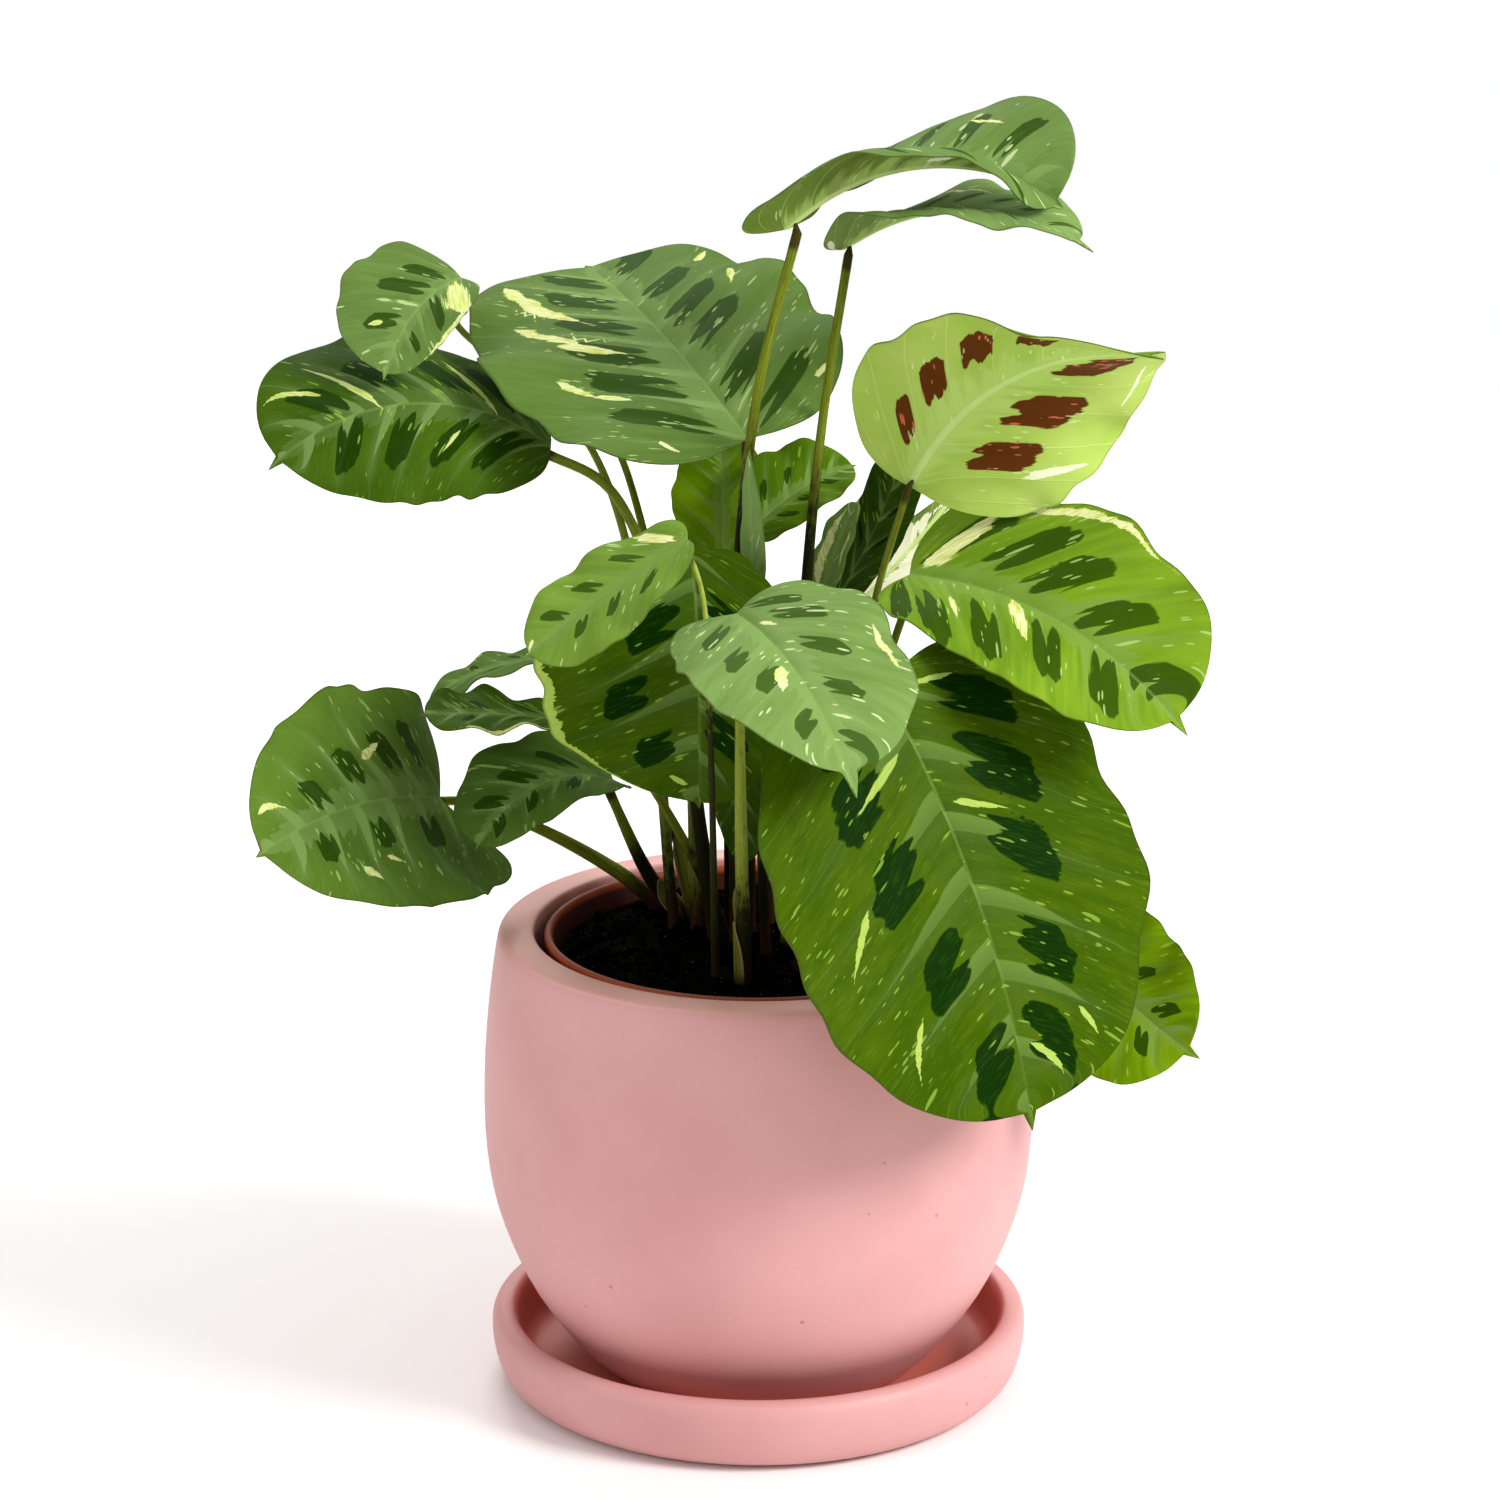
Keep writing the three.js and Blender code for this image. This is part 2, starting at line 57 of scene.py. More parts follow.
# %% Camera
CAMERA_PITCH = 16.49  # degrees below level
camera_data = bpy.data.cameras.new("camera")
camera_data.lens = 120
camera_data.sensor_width = 36
camera = bpy.data.objects.new("camera", camera_data)
camera.location = (-0.00244, -1.3293, 0.5786)
camera.rotation_euler = (math.radians(90 - CAMERA_PITCH), 0, 0)
bpy.context.scene.collection.objects.link(camera)
bpy.context.scene.camera = camera
print("camera at", tuple(round(value, 3) for value in camera.location))

# %% [markdown]
# ## Floor and light
# Soft studio light comes from large sources: a bright room all round, a wide panel at the front
# right, which is what makes that side of the pot lighter, a weak one at the front left, and one
# behind, which lights the leaves' edges. The floor is plain and pale, so that only a soft shadow
# shows on it.


# %% Helpers for selecting and colours
def deselect_all():
    bpy.ops.object.select_all(action="DESELECT")


def make_active(piece):
    deselect_all()
    piece.select_set(True)
    bpy.context.view_layer.objects.active = piece


def srgb(red, green, blue):
    """A colour as a screen shows it, 0 to 255, turned into the linear values Blender works in."""
    def linear(value):
        value /= 255
        return value / 12.92 if value <= 0.04045 else ((value + 0.055) / 1.055) ** 2.4
    return (linear(red), linear(green), linear(blue), 1.0)


print("half bright on screen is this share of full light:", round(srgb(128, 0, 0)[0], 3))


# %% Floor
deselect_all()
bpy.ops.mesh.primitive_plane_add(size=2.6)
floor = bpy.context.object
floor.name = "studio_floor"
floor_paint = bpy.data.materials.new("studio_floor")
floor_paint.use_nodes = True
floor_shader = floor_paint.node_tree.nodes["Principled BSDF"]
floor_shader.inputs["Base Color"].default_value = srgb(252, 250, 249)
floor_shader.inputs["Roughness"].default_value = 0.9
floor.data.materials.append(floor_paint)
print("floor:", floor.name)


# %% Soft room
def light_room(overhead, level, below):
    """A room whose light grows from the walls to the ceiling, as under a large soft box.
    On the ramp, 0 is straight down, 0.5 the horizon and 1 straight up."""
    room = bpy.data.worlds.new("soft_room")
    room.use_nodes = True
    nodes, links = room.node_tree.nodes, room.node_tree.links
    towards = nodes.new("ShaderNodeTexCoord")
    height = nodes.new("ShaderNodeSeparateXYZ")
    strength = nodes.new("ShaderNodeValToRGB")
    stops = strength.color_ramp.elements
    stops[0].position, stops[0].color = 0.48, (below, below, below, 1)
    stops[1].position, stops[1].color = 1.0, (overhead, overhead, overhead, 1)
    wall = stops.new(0.5)
    wall.color = (level, level, level, 1)
    lifted = nodes.new("ShaderNodeMath")
    lifted.operation = "MULTIPLY_ADD"
    lifted.inputs[1].default_value = lifted.inputs[2].default_value = 0.5
    links.new(towards.outputs["Generated"], height.inputs[0])
    links.new(height.outputs["Z"], lifted.inputs[0])
    links.new(lifted.outputs[0], strength.inputs[0])
    links.new(strength.outputs["Color"], nodes["Background"].inputs["Color"])
    bpy.context.scene.world = room


light_room(overhead=0.85, level=0.28, below=1.0)
bpy.context.scene.view_settings.view_transform = "Standard"
print("room:", bpy.context.scene.world.name)

# %% Lamps
PLANT_MIDDLE = Vector((0, 0, 0.18))


def add_panel(name, place, size, power):
    """A square soft lamp that faces the middle of the plant."""
    lamp = bpy.data.lights.new(name, "AREA")
    lamp.size = size
    lamp.energy = power
    holder = bpy.data.objects.new(name, lamp)
    holder.location = place
    aim = PLANT_MIDDLE - Vector(place)
    holder.rotation_euler = aim.to_track_quat("-Z", "Y").to_euler()
    bpy.context.scene.collection.objects.link(holder)
    return holder


panels = [
    add_panel("panel_front_right", (1.5, -0.8, 1.3), 0.7, 38),
    add_panel("panel_front_left", (-1.4, -1.2, 0.9), 0.8, 5),
    add_panel("panel_back", (-0.2, 1.4, 1.5), 0.8, 16),
]
print("lamps:", [panel.name for panel in panels])

# %% [markdown]
# ## Saucer, pot and nursery pot
# All three are round, so each is drawn as half of its section and spun about the upright axis, as
# a potter or a mould would turn it. The sections are the ones the solids have. Their corners are
# eased first, and one level of subdivision rounds the two of thick clay. The thin plastic one
# keeps its sharp lip.


# %% Spin a section
SHARP_TURN = math.radians(18)  # a gentler turn isn't a corner
LARGEST_CUT = 0.35  # of the side that a corner is cut back along


def eased(section, ease):
    """The section with each clear corner cut back by a little, so that it comes out rounded."""
    points = [Vector(point) for point in section]
    result = [points[0]]
    for before, corner, after in zip(points, points[1:], points[2:]):
        arriving, leaving = corner - before, after - corner
        if arriving.angle(leaving) < SHARP_TURN:
            result.append(corner)
            continue
        for side, sign in (arriving, -1), (leaving, 1):
            cut = min(ease, LARGEST_CUT * side.length)
            result.append(corner + side.normalized() * cut * sign)
    return result + [points[-1]]


def spin_section(name, section, ease=0.8, steps=96):
    """Draws the half section, given as radius and height in millimetres, and spins it round."""
    points = eased(section, ease)
    deselect_all()
    bpy.ops.mesh.primitive_plane_add(size=0.001, location=(points[0].x * MM, 0, points[0].y * MM))
    piece = bpy.context.object
    piece.name = name
    bpy.ops.object.transform_apply(location=True)
    bpy.ops.object.mode_set(mode="EDIT")
    bpy.ops.mesh.select_all(action="SELECT")
    bpy.ops.mesh.merge(type="CENTER")
    for start, end in zip(points, points[1:]):
        step = ((end.x - start.x) * MM, 0, (end.y - start.y) * MM)
        bpy.ops.mesh.extrude_vertices_move(TRANSFORM_OT_translate={"value": step})
    bpy.ops.mesh.select_all(action="SELECT")
    bpy.ops.mesh.spin(steps=steps, angle=2 * math.pi, center=(0, 0, 0), axis=(0, 0, 1))
    bpy.ops.mesh.select_all(action="SELECT")
    bpy.ops.mesh.remove_doubles(threshold=0.00001)
    bpy.ops.mesh.normals_make_consistent(inside=False)
    bpy.ops.object.mode_set(mode="OBJECT")
    return piece


# %% Finish and dress a piece
def apply_modifier(piece, kind, **settings):
    make_active(piece)
    modifier = piece.modifiers.new(kind, kind)
    for key, value in settings.items():
        setattr(modifier, key, value)
    bpy.ops.object.modifier_apply(modifier=modifier.name)


def shade_smooth(piece, angle):
    """Shades the piece smooth, apart from edges that turn by more than the angle, in degrees."""
    make_active(piece)
    bpy.ops.object.shade_smooth_by_angle(angle=math.radians(angle))


def round_off(piece):
    apply_modifier(piece, "SUBSURF", levels=1, render_levels=1)
    shade_smooth(piece, 35)
    print(piece.name, "faces:", len(piece.data.polygons))


def dress(piece, node, slot, *materials):
    """The piece stands for the solid of that name and takes these finishes."""
    piece.data.materials.clear()
    for material in materials:
        piece.data.materials.append(material)
    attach(piece, "root")
    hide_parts(node)


# %% Saucer
saucer = spin_section("saucer_dish", [
    (0, 0), (66.5, 0), (70.5, 1.2), (73.4, 3.6), (74.9, 7), (76.1, 12), (76.3, 17), (75.8, 19.6),
    (74, 21.1), (71.4, 21.2), (69.4, 20.4), (68.6, 18), (67.4, 9.5), (65, 6.8), (61, 6), (0, 6),
])
round_off(saucer)

# %% Outer pot
# Its floor has a drain hole, so the section is a closed loop that starts and ends at the hole.
outer_pot = spin_section("cover_pot", [
    (7, 10), (7, 6.3), (45, 6.3), (52, 12), (58.6, 20.5), (65, 30), (69.2, 39), (73, 49),
    (75.6, 58), (77.2, 69), (77.8, 82), (77.3, 98), (75.9, 114), (74.2, 126), (73.2, 132.2),
    (72, 134), (63.8, 134), (62.8, 133), (63.2, 118), (64, 85), (61, 55), (55, 32), (49.5, 20),
    (46, 16), (7, 16), (7, 10),
])
round_off(outer_pot)

# %% Nursery pot
# Thin plastic, so its section stays sharp. The drain holes in its floor are cut by six pegs.
nursery_pot = spin_section("nursery_liner", [
    (0, 16.3), (43, 16.3), (44.5, 17.8), (57.4, 124), (57.9, 127.2), (59.8, 127.8), (60.1, 129),
    (60.1, 132), (59.4, 133), (58.4, 133), (57.9, 132.2), (56.2, 124), (43.2, 18.5), (42.4, 17.5),
    (0, 17.5),
], ease=0.25, steps=128)


def cut_drain_holes(piece, ring=24, radius=3.5, count=6):
    deselect_all()
    pegs = []
    for k in range(count):
        angle = 2 * math.pi * k / count
        place = (ring * MM * math.cos(angle), ring * MM * math.sin(angle), 17 * MM)
        bpy.ops.mesh.primitive_cylinder_add(
            vertices=24, radius=radius * MM, depth=6 * MM, location=place,
        )
        pegs.append(bpy.context.object)
    deselect_all()
    for peg in pegs:
        peg.select_set(True)
    bpy.context.view_layer.objects.active = pegs[0]
    bpy.ops.object.join()
    cutter = bpy.context.object
    apply_modifier(piece, "BOOLEAN", operation="DIFFERENCE", object=cutter)
    bpy.data.objects.remove(cutter)


cut_drain_holes(nursery_pot)
shade_smooth(nursery_pot, 35)
print("nursery pot faces:", len(nursery_pot.data.polygons))

# %% [markdown]
# ## Leaves
# Every leaf is the same flat oval with a drawn out point, bent in its own way: its midrib arches,
# its halves fold up or curl under, and it twists as it turns to the light. So one flat blade is
# made from a grid, and each copy of it is bent along its own midrib by the values below, which are
# those of the solids. Heading, pitch and roll are in degrees, the rest in millimetres. A pair of
# values is for the left and the right half. Turn is the stretch of the midrib that twists, crease
# an extra fold at the base, and tip the share of the length where the drawn out point begins.

# %% Values of the leaves
LEAVES = {
    "upper_left": dict(
        base=[-83.5, 53, 307.5], length=47, widths=[12, 22], heading=235, pitch=-3, droop=52,
        swing=11, roll=26, twist=5, fold=7, cup=-1, lobe=0.11, tip=0.95, wave=1, foot=[-24, 18],
        via=[[-34, 33, 222], [-50, 52, 263], [-78, 65, 284], [-86, 58, 295]], thick=1.3,
    ),
    "left_broad": dict(
        base=[-58, 32, 264], length=88, widths=[31, 38], heading=194, pitch=40, droop=81, swing=10,
        roll=24, twist=20, fold=-6, cup=-17, lobe=0.05, tip=0.95, wave=1.5, foot=[-17, 17],
        via=[[-21, 20, 195], [-41, 28, 252]], thick=1.9, ease=0.5,
    ),
    "crown_broad": dict(
        base=[-3, 2, 273], length=115, widths=[53, 44], heading=121, pitch=27, droop=25, swing=-11,
        roll=17, twist=-11, fold=11, cup=-14, lobe=0.14, wave=2.5, foot=[-3, 15],
        via=[[-3, 11, 190]], thick=1.8,
    ),
    "top_twisted": dict(
        base=[8, -4, 332], length=82, widths=[38, 19], heading=-5, pitch=46, droop=85, swing=20,
        roll=9, twist=-108, turn=[0.45, 1.3], fold=48, crease=[-25, 29], cup=-80, lobe=[0.2, 0.37],
        tip=0.96, wave=1.5, foot=[-6, 5], via=[[-6, -3, 230], [0, -7, 290]], thick=1.8,
    ),
    "top_narrow": dict(
        base=[23, 14, 323], length=76, widths=[24, 23], heading=-21, pitch=38, droop=69, swing=-2,
        roll=24, twist=-23, turn=[0.07, 0.61], fold=12, crease=[32, -12], cup=-17,
        lobe=[0.09, 0.1], tip=0.93, wave=1.5, foot=[9, 3], via=[[12, 3, 215], [17, 3, 275]],
        thick=1.7,
    ),
    "raised_light": dict(
        base=[41, -8, 262], length=98, widths=[42, 32], heading=-41, pitch=62, droop=65, swing=6,
        roll=70, twist=-65, fold=5, cup=-3, lobe=0.04, tip=0.93, wave=1.5, foot=[17, 4],
        via=[[31, -3, 225]], thick=1.3,
    ),
    "right_round": dict(
        base=[41, -11, 238], length=96, widths=[34, 31], heading=-34, pitch=5, droop=49, swing=-1,
        roll=-24, twist=-12, fold=13, cup=4, lobe=0.13, tip=0.94, wave=1.5, foot=[21, -8],
        via=[[29, -9, 190]], thick=1.5,
    ),
    "front_hanging": dict(
        base=[33, -57, 219], length=125, widths=[55, 61], heading=-38, pitch=-53, droop=27,
        swing=3, roll=-18, twist=1, fold=4, cup=-7, lobe=0.2, tip=0.955, wave=1.5, foot=[12, -18],
        via=[[22, -36, 185]], thick=2,
    ),
    "centre_pale": dict(
        base=[-6, -52, 238], length=73, widths=[31, 30], heading=-61, pitch=-3, droop=53, swing=3,
        roll=-19, twist=30, fold=14, cup=-19, lobe=0.1, tip=0.9, wave=1.5, foot=[-4, -29],
        via=[[-5, -43, 185]], thick=1.7,
    ),
    "young_folded": dict(
        base=[-19, -51, 258], length=53, widths=[21, 16], heading=184, pitch=-33, droop=4, swing=9,
        roll=14, twist=17, fold=9, cup=-6, lobe=0.13, wave=1, foot=[-12, -24],
        via=[[-13, -45, 200], [-15, -51, 243]], thick=0.9,
    ),
    "dark_hanging": dict(
        base=[-18, -18, 245], length=72, widths=[24, 44], heading=-83, pitch=-46, droop=62,
        swing=-3, roll=-4, twist=-12, fold=3, cup=-9, lobe=0.13, wave=1.5, foot=[-12, 8],
        via=[[-18, -4, 180]], thick=1.9,
    ),
    "far_left": dict(
        base=[-90, 20, 165], length=90, widths=[41, 33], heading=240, pitch=19, droop=29, swing=0,
        roll=58, twist=-7, fold=12, cup=21, lobe=[0.38, 0.13], wave=2, foot=[-29, 35],
        via=[[-38, 34, 137], [-62, 29, 153], [-83, 26, 162]], thick=1.8, ease=0.6,
    ),
    "left_low": dict(
        base=[-41, 15, 172], length=53, widths=[18, 19], heading=216, pitch=25, droop=77, swing=6,
        roll=14, twist=1, fold=10, cup=7, lobe=0.11, wave=1, foot=[-23, 30], via=[[-31, 26, 140]],
        thick=1.9,
    ),
    "left_lower_edge": dict(
        base=[-52, 5, 192], length=43, widths=[16, 15], heading=195, pitch=12, droop=11, swing=-2,
        roll=-5, twist=21, fold=3, cup=6, lobe=0.12, wave=1.5, foot=[-10, 14], via=[[-19, 12, 151],
            [-38, 8, 182]], thick=1.3,
    ),
    "left_upper_edge": dict(
        base=[-59, 25, 204], length=39, widths=[15, 15], heading=170, pitch=-3, droop=38, swing=0,
        roll=-6, twist=17, fold=4, cup=-3, lobe=0.12, wave=1, foot=[-18, 27], via=[[-25, 29, 155],
            [-44, 29, 190]], thick=1.3,
    ),
    "right_low": dict(
        base=[81, -26, 143], length=55, widths=[22, 24], heading=-29, pitch=-44, droop=-18,
        swing=-1, roll=-52, twist=-21, fold=11, cup=2, lobe=0.12, tip=0.92, wave=1.5,
        foot=[29, -14], via=[[40, -16, 152], [62, -20, 156]], thick=1.4,
    ),
    "inner_spotted": dict(
        base=[-2, 13, 244], length=36, widths=[15, 12], heading=23, pitch=44, droop=34, swing=1,
        roll=-32, twist=5, fold=10, cup=12, lobe=0.12, wave=1, foot=[3, 23], via=[[1, 20, 190]],
        thick=1.3,
    ),
    "inner_upright": dict(
        base=[-10, 27, 231], length=39, widths=[14, 13], heading=92, pitch=86, droop=20, swing=1,
        roll=6, twist=5, fold=5, cup=6, lobe=0.08, wave=1, foot=[-8, 26], via=[[-9, 26, 180]],
        thick=1.3,
    ),
    "inner_striped": dict(
        base=[18, 6, 228], length=28, widths=[7, 6], heading=38, pitch=72, droop=13, swing=-6,
        roll=-5, twist=2, fold=9, cup=7, lobe=0.12, wave=0.5, foot=[14, 12], via=[[15, 10, 180]],
        thick=1.2,
    ),
    "inner_dark": dict(
        base=[22, 18, 224], length=48, widths=[11, 13], heading=12, pitch=57, droop=-16, swing=11,
        roll=-10, twist=-16, fold=4, cup=-3, lobe=0.1, wave=0.5, foot=[17, 20],
        via=[[19, 19, 180]], thick=1.2,
    ),
    "inner_white": dict(
        base=[27, 30, 218], length=41, widths=[11, 9], heading=11, pitch=45, droop=-5, swing=3,
        roll=60, twist=0, fold=3, cup=-5, lobe=0.12, wave=0.5, foot=[24, 27], via=[[25, 28, 175]],
        thick=1.2,
    ),
    "new_rolled": dict(
        base=[-2, -11, 230], length=43, widths=[4, 7], heading=70, pitch=89, droop=-6, swing=-12,
        roll=19, twist=20, fold=6, cup=2, lobe=0.02, wave=0.2, foot=[2, -5], via=[[0, -7, 180]],
        thick=1.2,
    ),
    "inner_drooping": dict(
        base=[-6, -13, 192], length=35, widths=[8, 9], heading=-75, pitch=-79, droop=-4, swing=11,
        roll=6, twist=13, fold=5, cup=-2, lobe=0.13, wave=0.5, foot=[-4, -13],
        via=[[-5, -12, 165]], thick=1.2,
    ),
    "back_hidden": dict(
        base=[-45, 72, 266], length=69, widths=[23, 24], heading=104, pitch=13, droop=32, swing=0,
        roll=9, twist=3, fold=8, cup=4, lobe=0.13, wave=1.5, foot=[-13, 32], via=[[-25, 31, 205],
            [-36, 44, 250]], thick=1.4,
    ),
}

print("leaves:", len(LEAVES))

# %% Helpers for the points of a blade
ROWS = 96  # faces from the base of a blade to its tip
COLUMNS = 48  # faces across a blade
POINT_START = 0.965  # share of the length at which the rounded outline closes on the point
LEAN = 0.38  # how far the side veins lean towards the tip
OTHER_HALF = 0.3  # the right half's veins lie this share of a gap nearer the base
YOUNG = 80  # a leaf shorter than this, in mm, has a gentler relief
BLADE = 0.7  # thickness, mm
CRIMP = 0.3  # how far a margin is crimped, as a share of its larger waves


def outline(u, start=POINT_START):
    """Half width at u, from 0 at the base to 1 at the tip, as a share of the greatest one."""
    q = np.minimum(np.abs(2 * (u / start) ** 0.95 - 1), 1)
    oval = np.where(u > start, 0, (1 - q ** 2.15) ** (1 / 2.15))
    point = 0.9 * (1 - u) * np.clip((u - 0.5) / 0.3, 0, 1)
    return (oval ** 4 + point ** 4) ** 0.25


def half_value(leaf, key, v, missing=0.0):
    """A value of the leaf that may differ left and right of the midrib, for the half v is in."""
    value = leaf.get(key, missing)
    left, right = value if isinstance(value, list) else (value, value)
    return np.where(np.asarray(v) > 0, right, left)


def store(mesh, name, *columns):
    """Stores a number at each point of the mesh, or a vector where three are given."""
    kind, field = ("FLOAT_VECTOR", "vector") if len(columns) == 3 else ("FLOAT", "value")
    rows = np.column_stack([np.broadcast_to(column, len(mesh.vertices)) for column in columns])
    mesh.attributes.new(name, kind, "POINT").data.foreach_set(field, rows.ravel())


def copy_of(piece, name):
    twin = piece.copy()
    twin.data = piece.data.copy()
    twin.name = name
    bpy.context.scene.collection.objects.link(twin)
    return twin


def shares(mesh):
    """Each point's share along the blade, and its share across, -1 at the left margin."""
    u, v = np.empty((2, len(mesh.vertices)))
    mesh.attributes["along_share"].data.foreach_get("value", u)
    mesh.attributes["across_share"].data.foreach_get("value", v)
    v[(u <= 0) | (u >= 1)] = 0
    return u, v


def places(mesh):
    """The mesh's points as rows of x, y, z."""
    read = np.empty(len(mesh.vertices) * 3)
    mesh.vertices.foreach_get("co", read)
    return read.reshape(-1, 3)


def move_points(mesh, rows):
    mesh.vertices.foreach_set("co", rows.ravel())
    mesh.update()


every_percent = np.linspace(0, 1, 101)
widest = every_percent[outline(every_percent).argmax()]
print("a blade is widest at this share of its length:", round(widest, 2))

# %% One flat blade
deselect_all()
bpy.ops.mesh.primitive_grid_add(x_subdivisions=COLUMNS, y_subdivisions=ROWS, size=2)
flat_blade = bpy.context.object
flat_blade.name = "flat_blade"
grid = places(flat_blade.data)
step = (grid[:, 1] + 1) / 2
# rows lie closer together at both ends, and columns closer at the midrib
along_share = np.clip(step - 0.11 * np.sin(2 * math.pi * step), 0, 1)
across_share = np.sign(grid[:, 0]) * np.abs(grid[:, 0]) ** 1.35
store(flat_blade.data, "along_share", along_share)
store(flat_blade.data, "across_share", across_share)
shape = np.column_stack([across_share * outline(along_share) * 0.4, along_share, 0 * step])
move_points(flat_blade.data, shape)
make_active(flat_blade)
bpy.ops.object.mode_set(mode="EDIT")
bpy.ops.mesh.select_all(action="SELECT")
bpy.ops.mesh.remove_doubles(threshold=0.000001)
bpy.ops.object.mode_set(mode="OBJECT")
print("flat blade:", len(flat_blade.data.vertices), "points")


# %% Midrib of a leaf
def midrib_frames(leaf, u):
    """Where the midrib is at each u, and the directions along it, to the right and up."""
    def direction(share):
        turn = np.radians(leaf["heading"] + leaf["swing"] * share)
        rise = np.radians(leaf["pitch"] - leaf["droop"] * share)
        level = np.cos(rise)
        return np.stack([level * np.cos(turn), level * np.sin(turn), np.sin(rise)], -1)
    middles = (np.arange(40) + 0.5) / 40  # the midrib is summed up from forty short steps
    place = np.array(leaf["base"]) + (
        direction(u[:, None] * middles).mean(axis=1) * (leaf["length"] * u)[:, None]
    )
    along = direction(u)
    turn = np.radians(leaf["heading"] + leaf["swing"] * u)
    level = np.stack([np.sin(turn), -np.cos(turn), 0 * turn], -1)
    raised = np.cross(level, along)
    start, end = leaf.get("turn", (0, 0))
    part = np.clip((u - start) / (end - start), 0, 1) if end else u
    twisted = part * part * (3 - 2 * part) if end else u
    roll = np.radians(leaf["roll"] + leaf["twist"] * twisted)[:, None]
    right = level * np.cos(roll) + raised * np.sin(roll)
    return place, along, right, np.cross(right, along)


tip = midrib_frames(LEAVES["left_broad"], np.array([1.0]))[0][0]
print("left_broad's tip is at", tip.round(1), "mm")


# %% Bend a blade along its midrib
def vein_phase(u, v, veins):
    """Counts the side veins from the base: whole numbers lie on a vein, halves between two."""
    return (u - LEAN * np.abs(v) ** 1.15 * (1 - u) ** 0.4) * veins


def staggered_phase(u, v, veins):
    """The same, with the veins of one half between those of the other."""
    return vein_phase(u, v, veins) + np.where(v > 0, OTHER_HALF, 0)


def bend(leaf, u, v, relief):
    """Points of the blade at u along and v across, lifted off the surface by the relief, in mm."""
    place, along, right, up = midrib_frames(leaf, u)
    half_width = half_value(leaf, "widths", v)
    share = outline(u, leaf.get("tip", POINT_START))
    phase = leaf["base"][0] + np.where(v > 0, 0, 2.1)
    uneven = 0.022 * np.sin(19 * u + phase) + 0.012 * np.sin(43 * u + 2 * phase)
    reach = np.abs(v) * half_width * share * (1 + uneven * np.abs(v) ** 3)
    fold = np.radians(leaf["fold"] + half_value(leaf, "crease", v) * (1 - u) ** 2)
    curl = math.radians(leaf["cup"]) / half_width
    out = (np.sin(fold + curl * reach) - np.sin(fold)) / curl
    lift = (np.cos(fold) - np.cos(fold + curl * reach)) / curl
    ripple = leaf["wave"] * v * v * share * np.sin(6 * math.pi * u + phase)
    crimp = np.sin(31 * u + 2 * phase) + 0.6 * np.sin(53 * u + phase)
    young = min(1, leaf["length"] / YOUNG) ** 2
    ripple = ripple + CRIMP * young * leaf["wave"] * np.abs(v) ** 7 * share * crimp
    back = half_value(leaf, "lobe", v) * leaf["length"] * (1 - u) ** 4 * share * np.abs(v)
    tilt = (fold + curl * reach) * np.minimum(1, reach / 2)
    normal = up * np.cos(tilt)[:, None] - right * (np.sign(v) * np.sin(tilt))[:, None]
    return (
        place - along * back[:, None] + right * (np.sign(v) * out)[:, None]
        + up * (lift + ripple)[:, None] + normal * relief[:, None]
    )


def relief_of(leaf, u, v, veins):
    """A groove over the midrib, and soft quilting between the side veins, in millimetres."""
    half_width = half_value(leaf, "widths", v)
    share = outline(u, leaf.get("tip", POINT_START))
    reach = np.abs(v) * half_width * share
    young = min(1, leaf["length"] / YOUNG)
    groove = -0.42 * young * np.exp(-((reach / (1.3 * young)) ** 2)) * np.clip(1.15 - u, 0, 1)
    swell = np.sqrt(np.abs(np.sin(math.pi * staggered_phase(u, v, veins)))) - 0.6
    fade = np.clip(reach / 4, 0, 1) * np.clip((1 - np.abs(v)) * 2.2, 0, 1) * np.clip(u * 8, 0, 1)
    return groove * np.clip(u * 14, 0, 1) + 0.85 * young * swell * fade * share


margin = bend(LEAVES["left_broad"], np.array([0.5]), np.array([1.0]), np.zeros(1))[0]
print("halfway along it, its right margin is at", margin.round(1), "mm")


# %% [markdown]
# ## Markings
# The pattern follows the veins. Between two side veins lies one dark blotch, drawn out along them,
# with a jagged end towards the midrib. Pale grey-green runs along the midrib and the veins, and
# the whole leaf is flecked with short yellow-green dashes. Some leaves carry cream streaks where
# the green is missing. An image would be easy but flat, and would be tied to one leaf. Instead,
# each blade stores a few smooth fields at its points: which vein it is near, how deep it is inside
# a blotch or a streak. The finish cuts these fields with noise that is stretched along the veins.

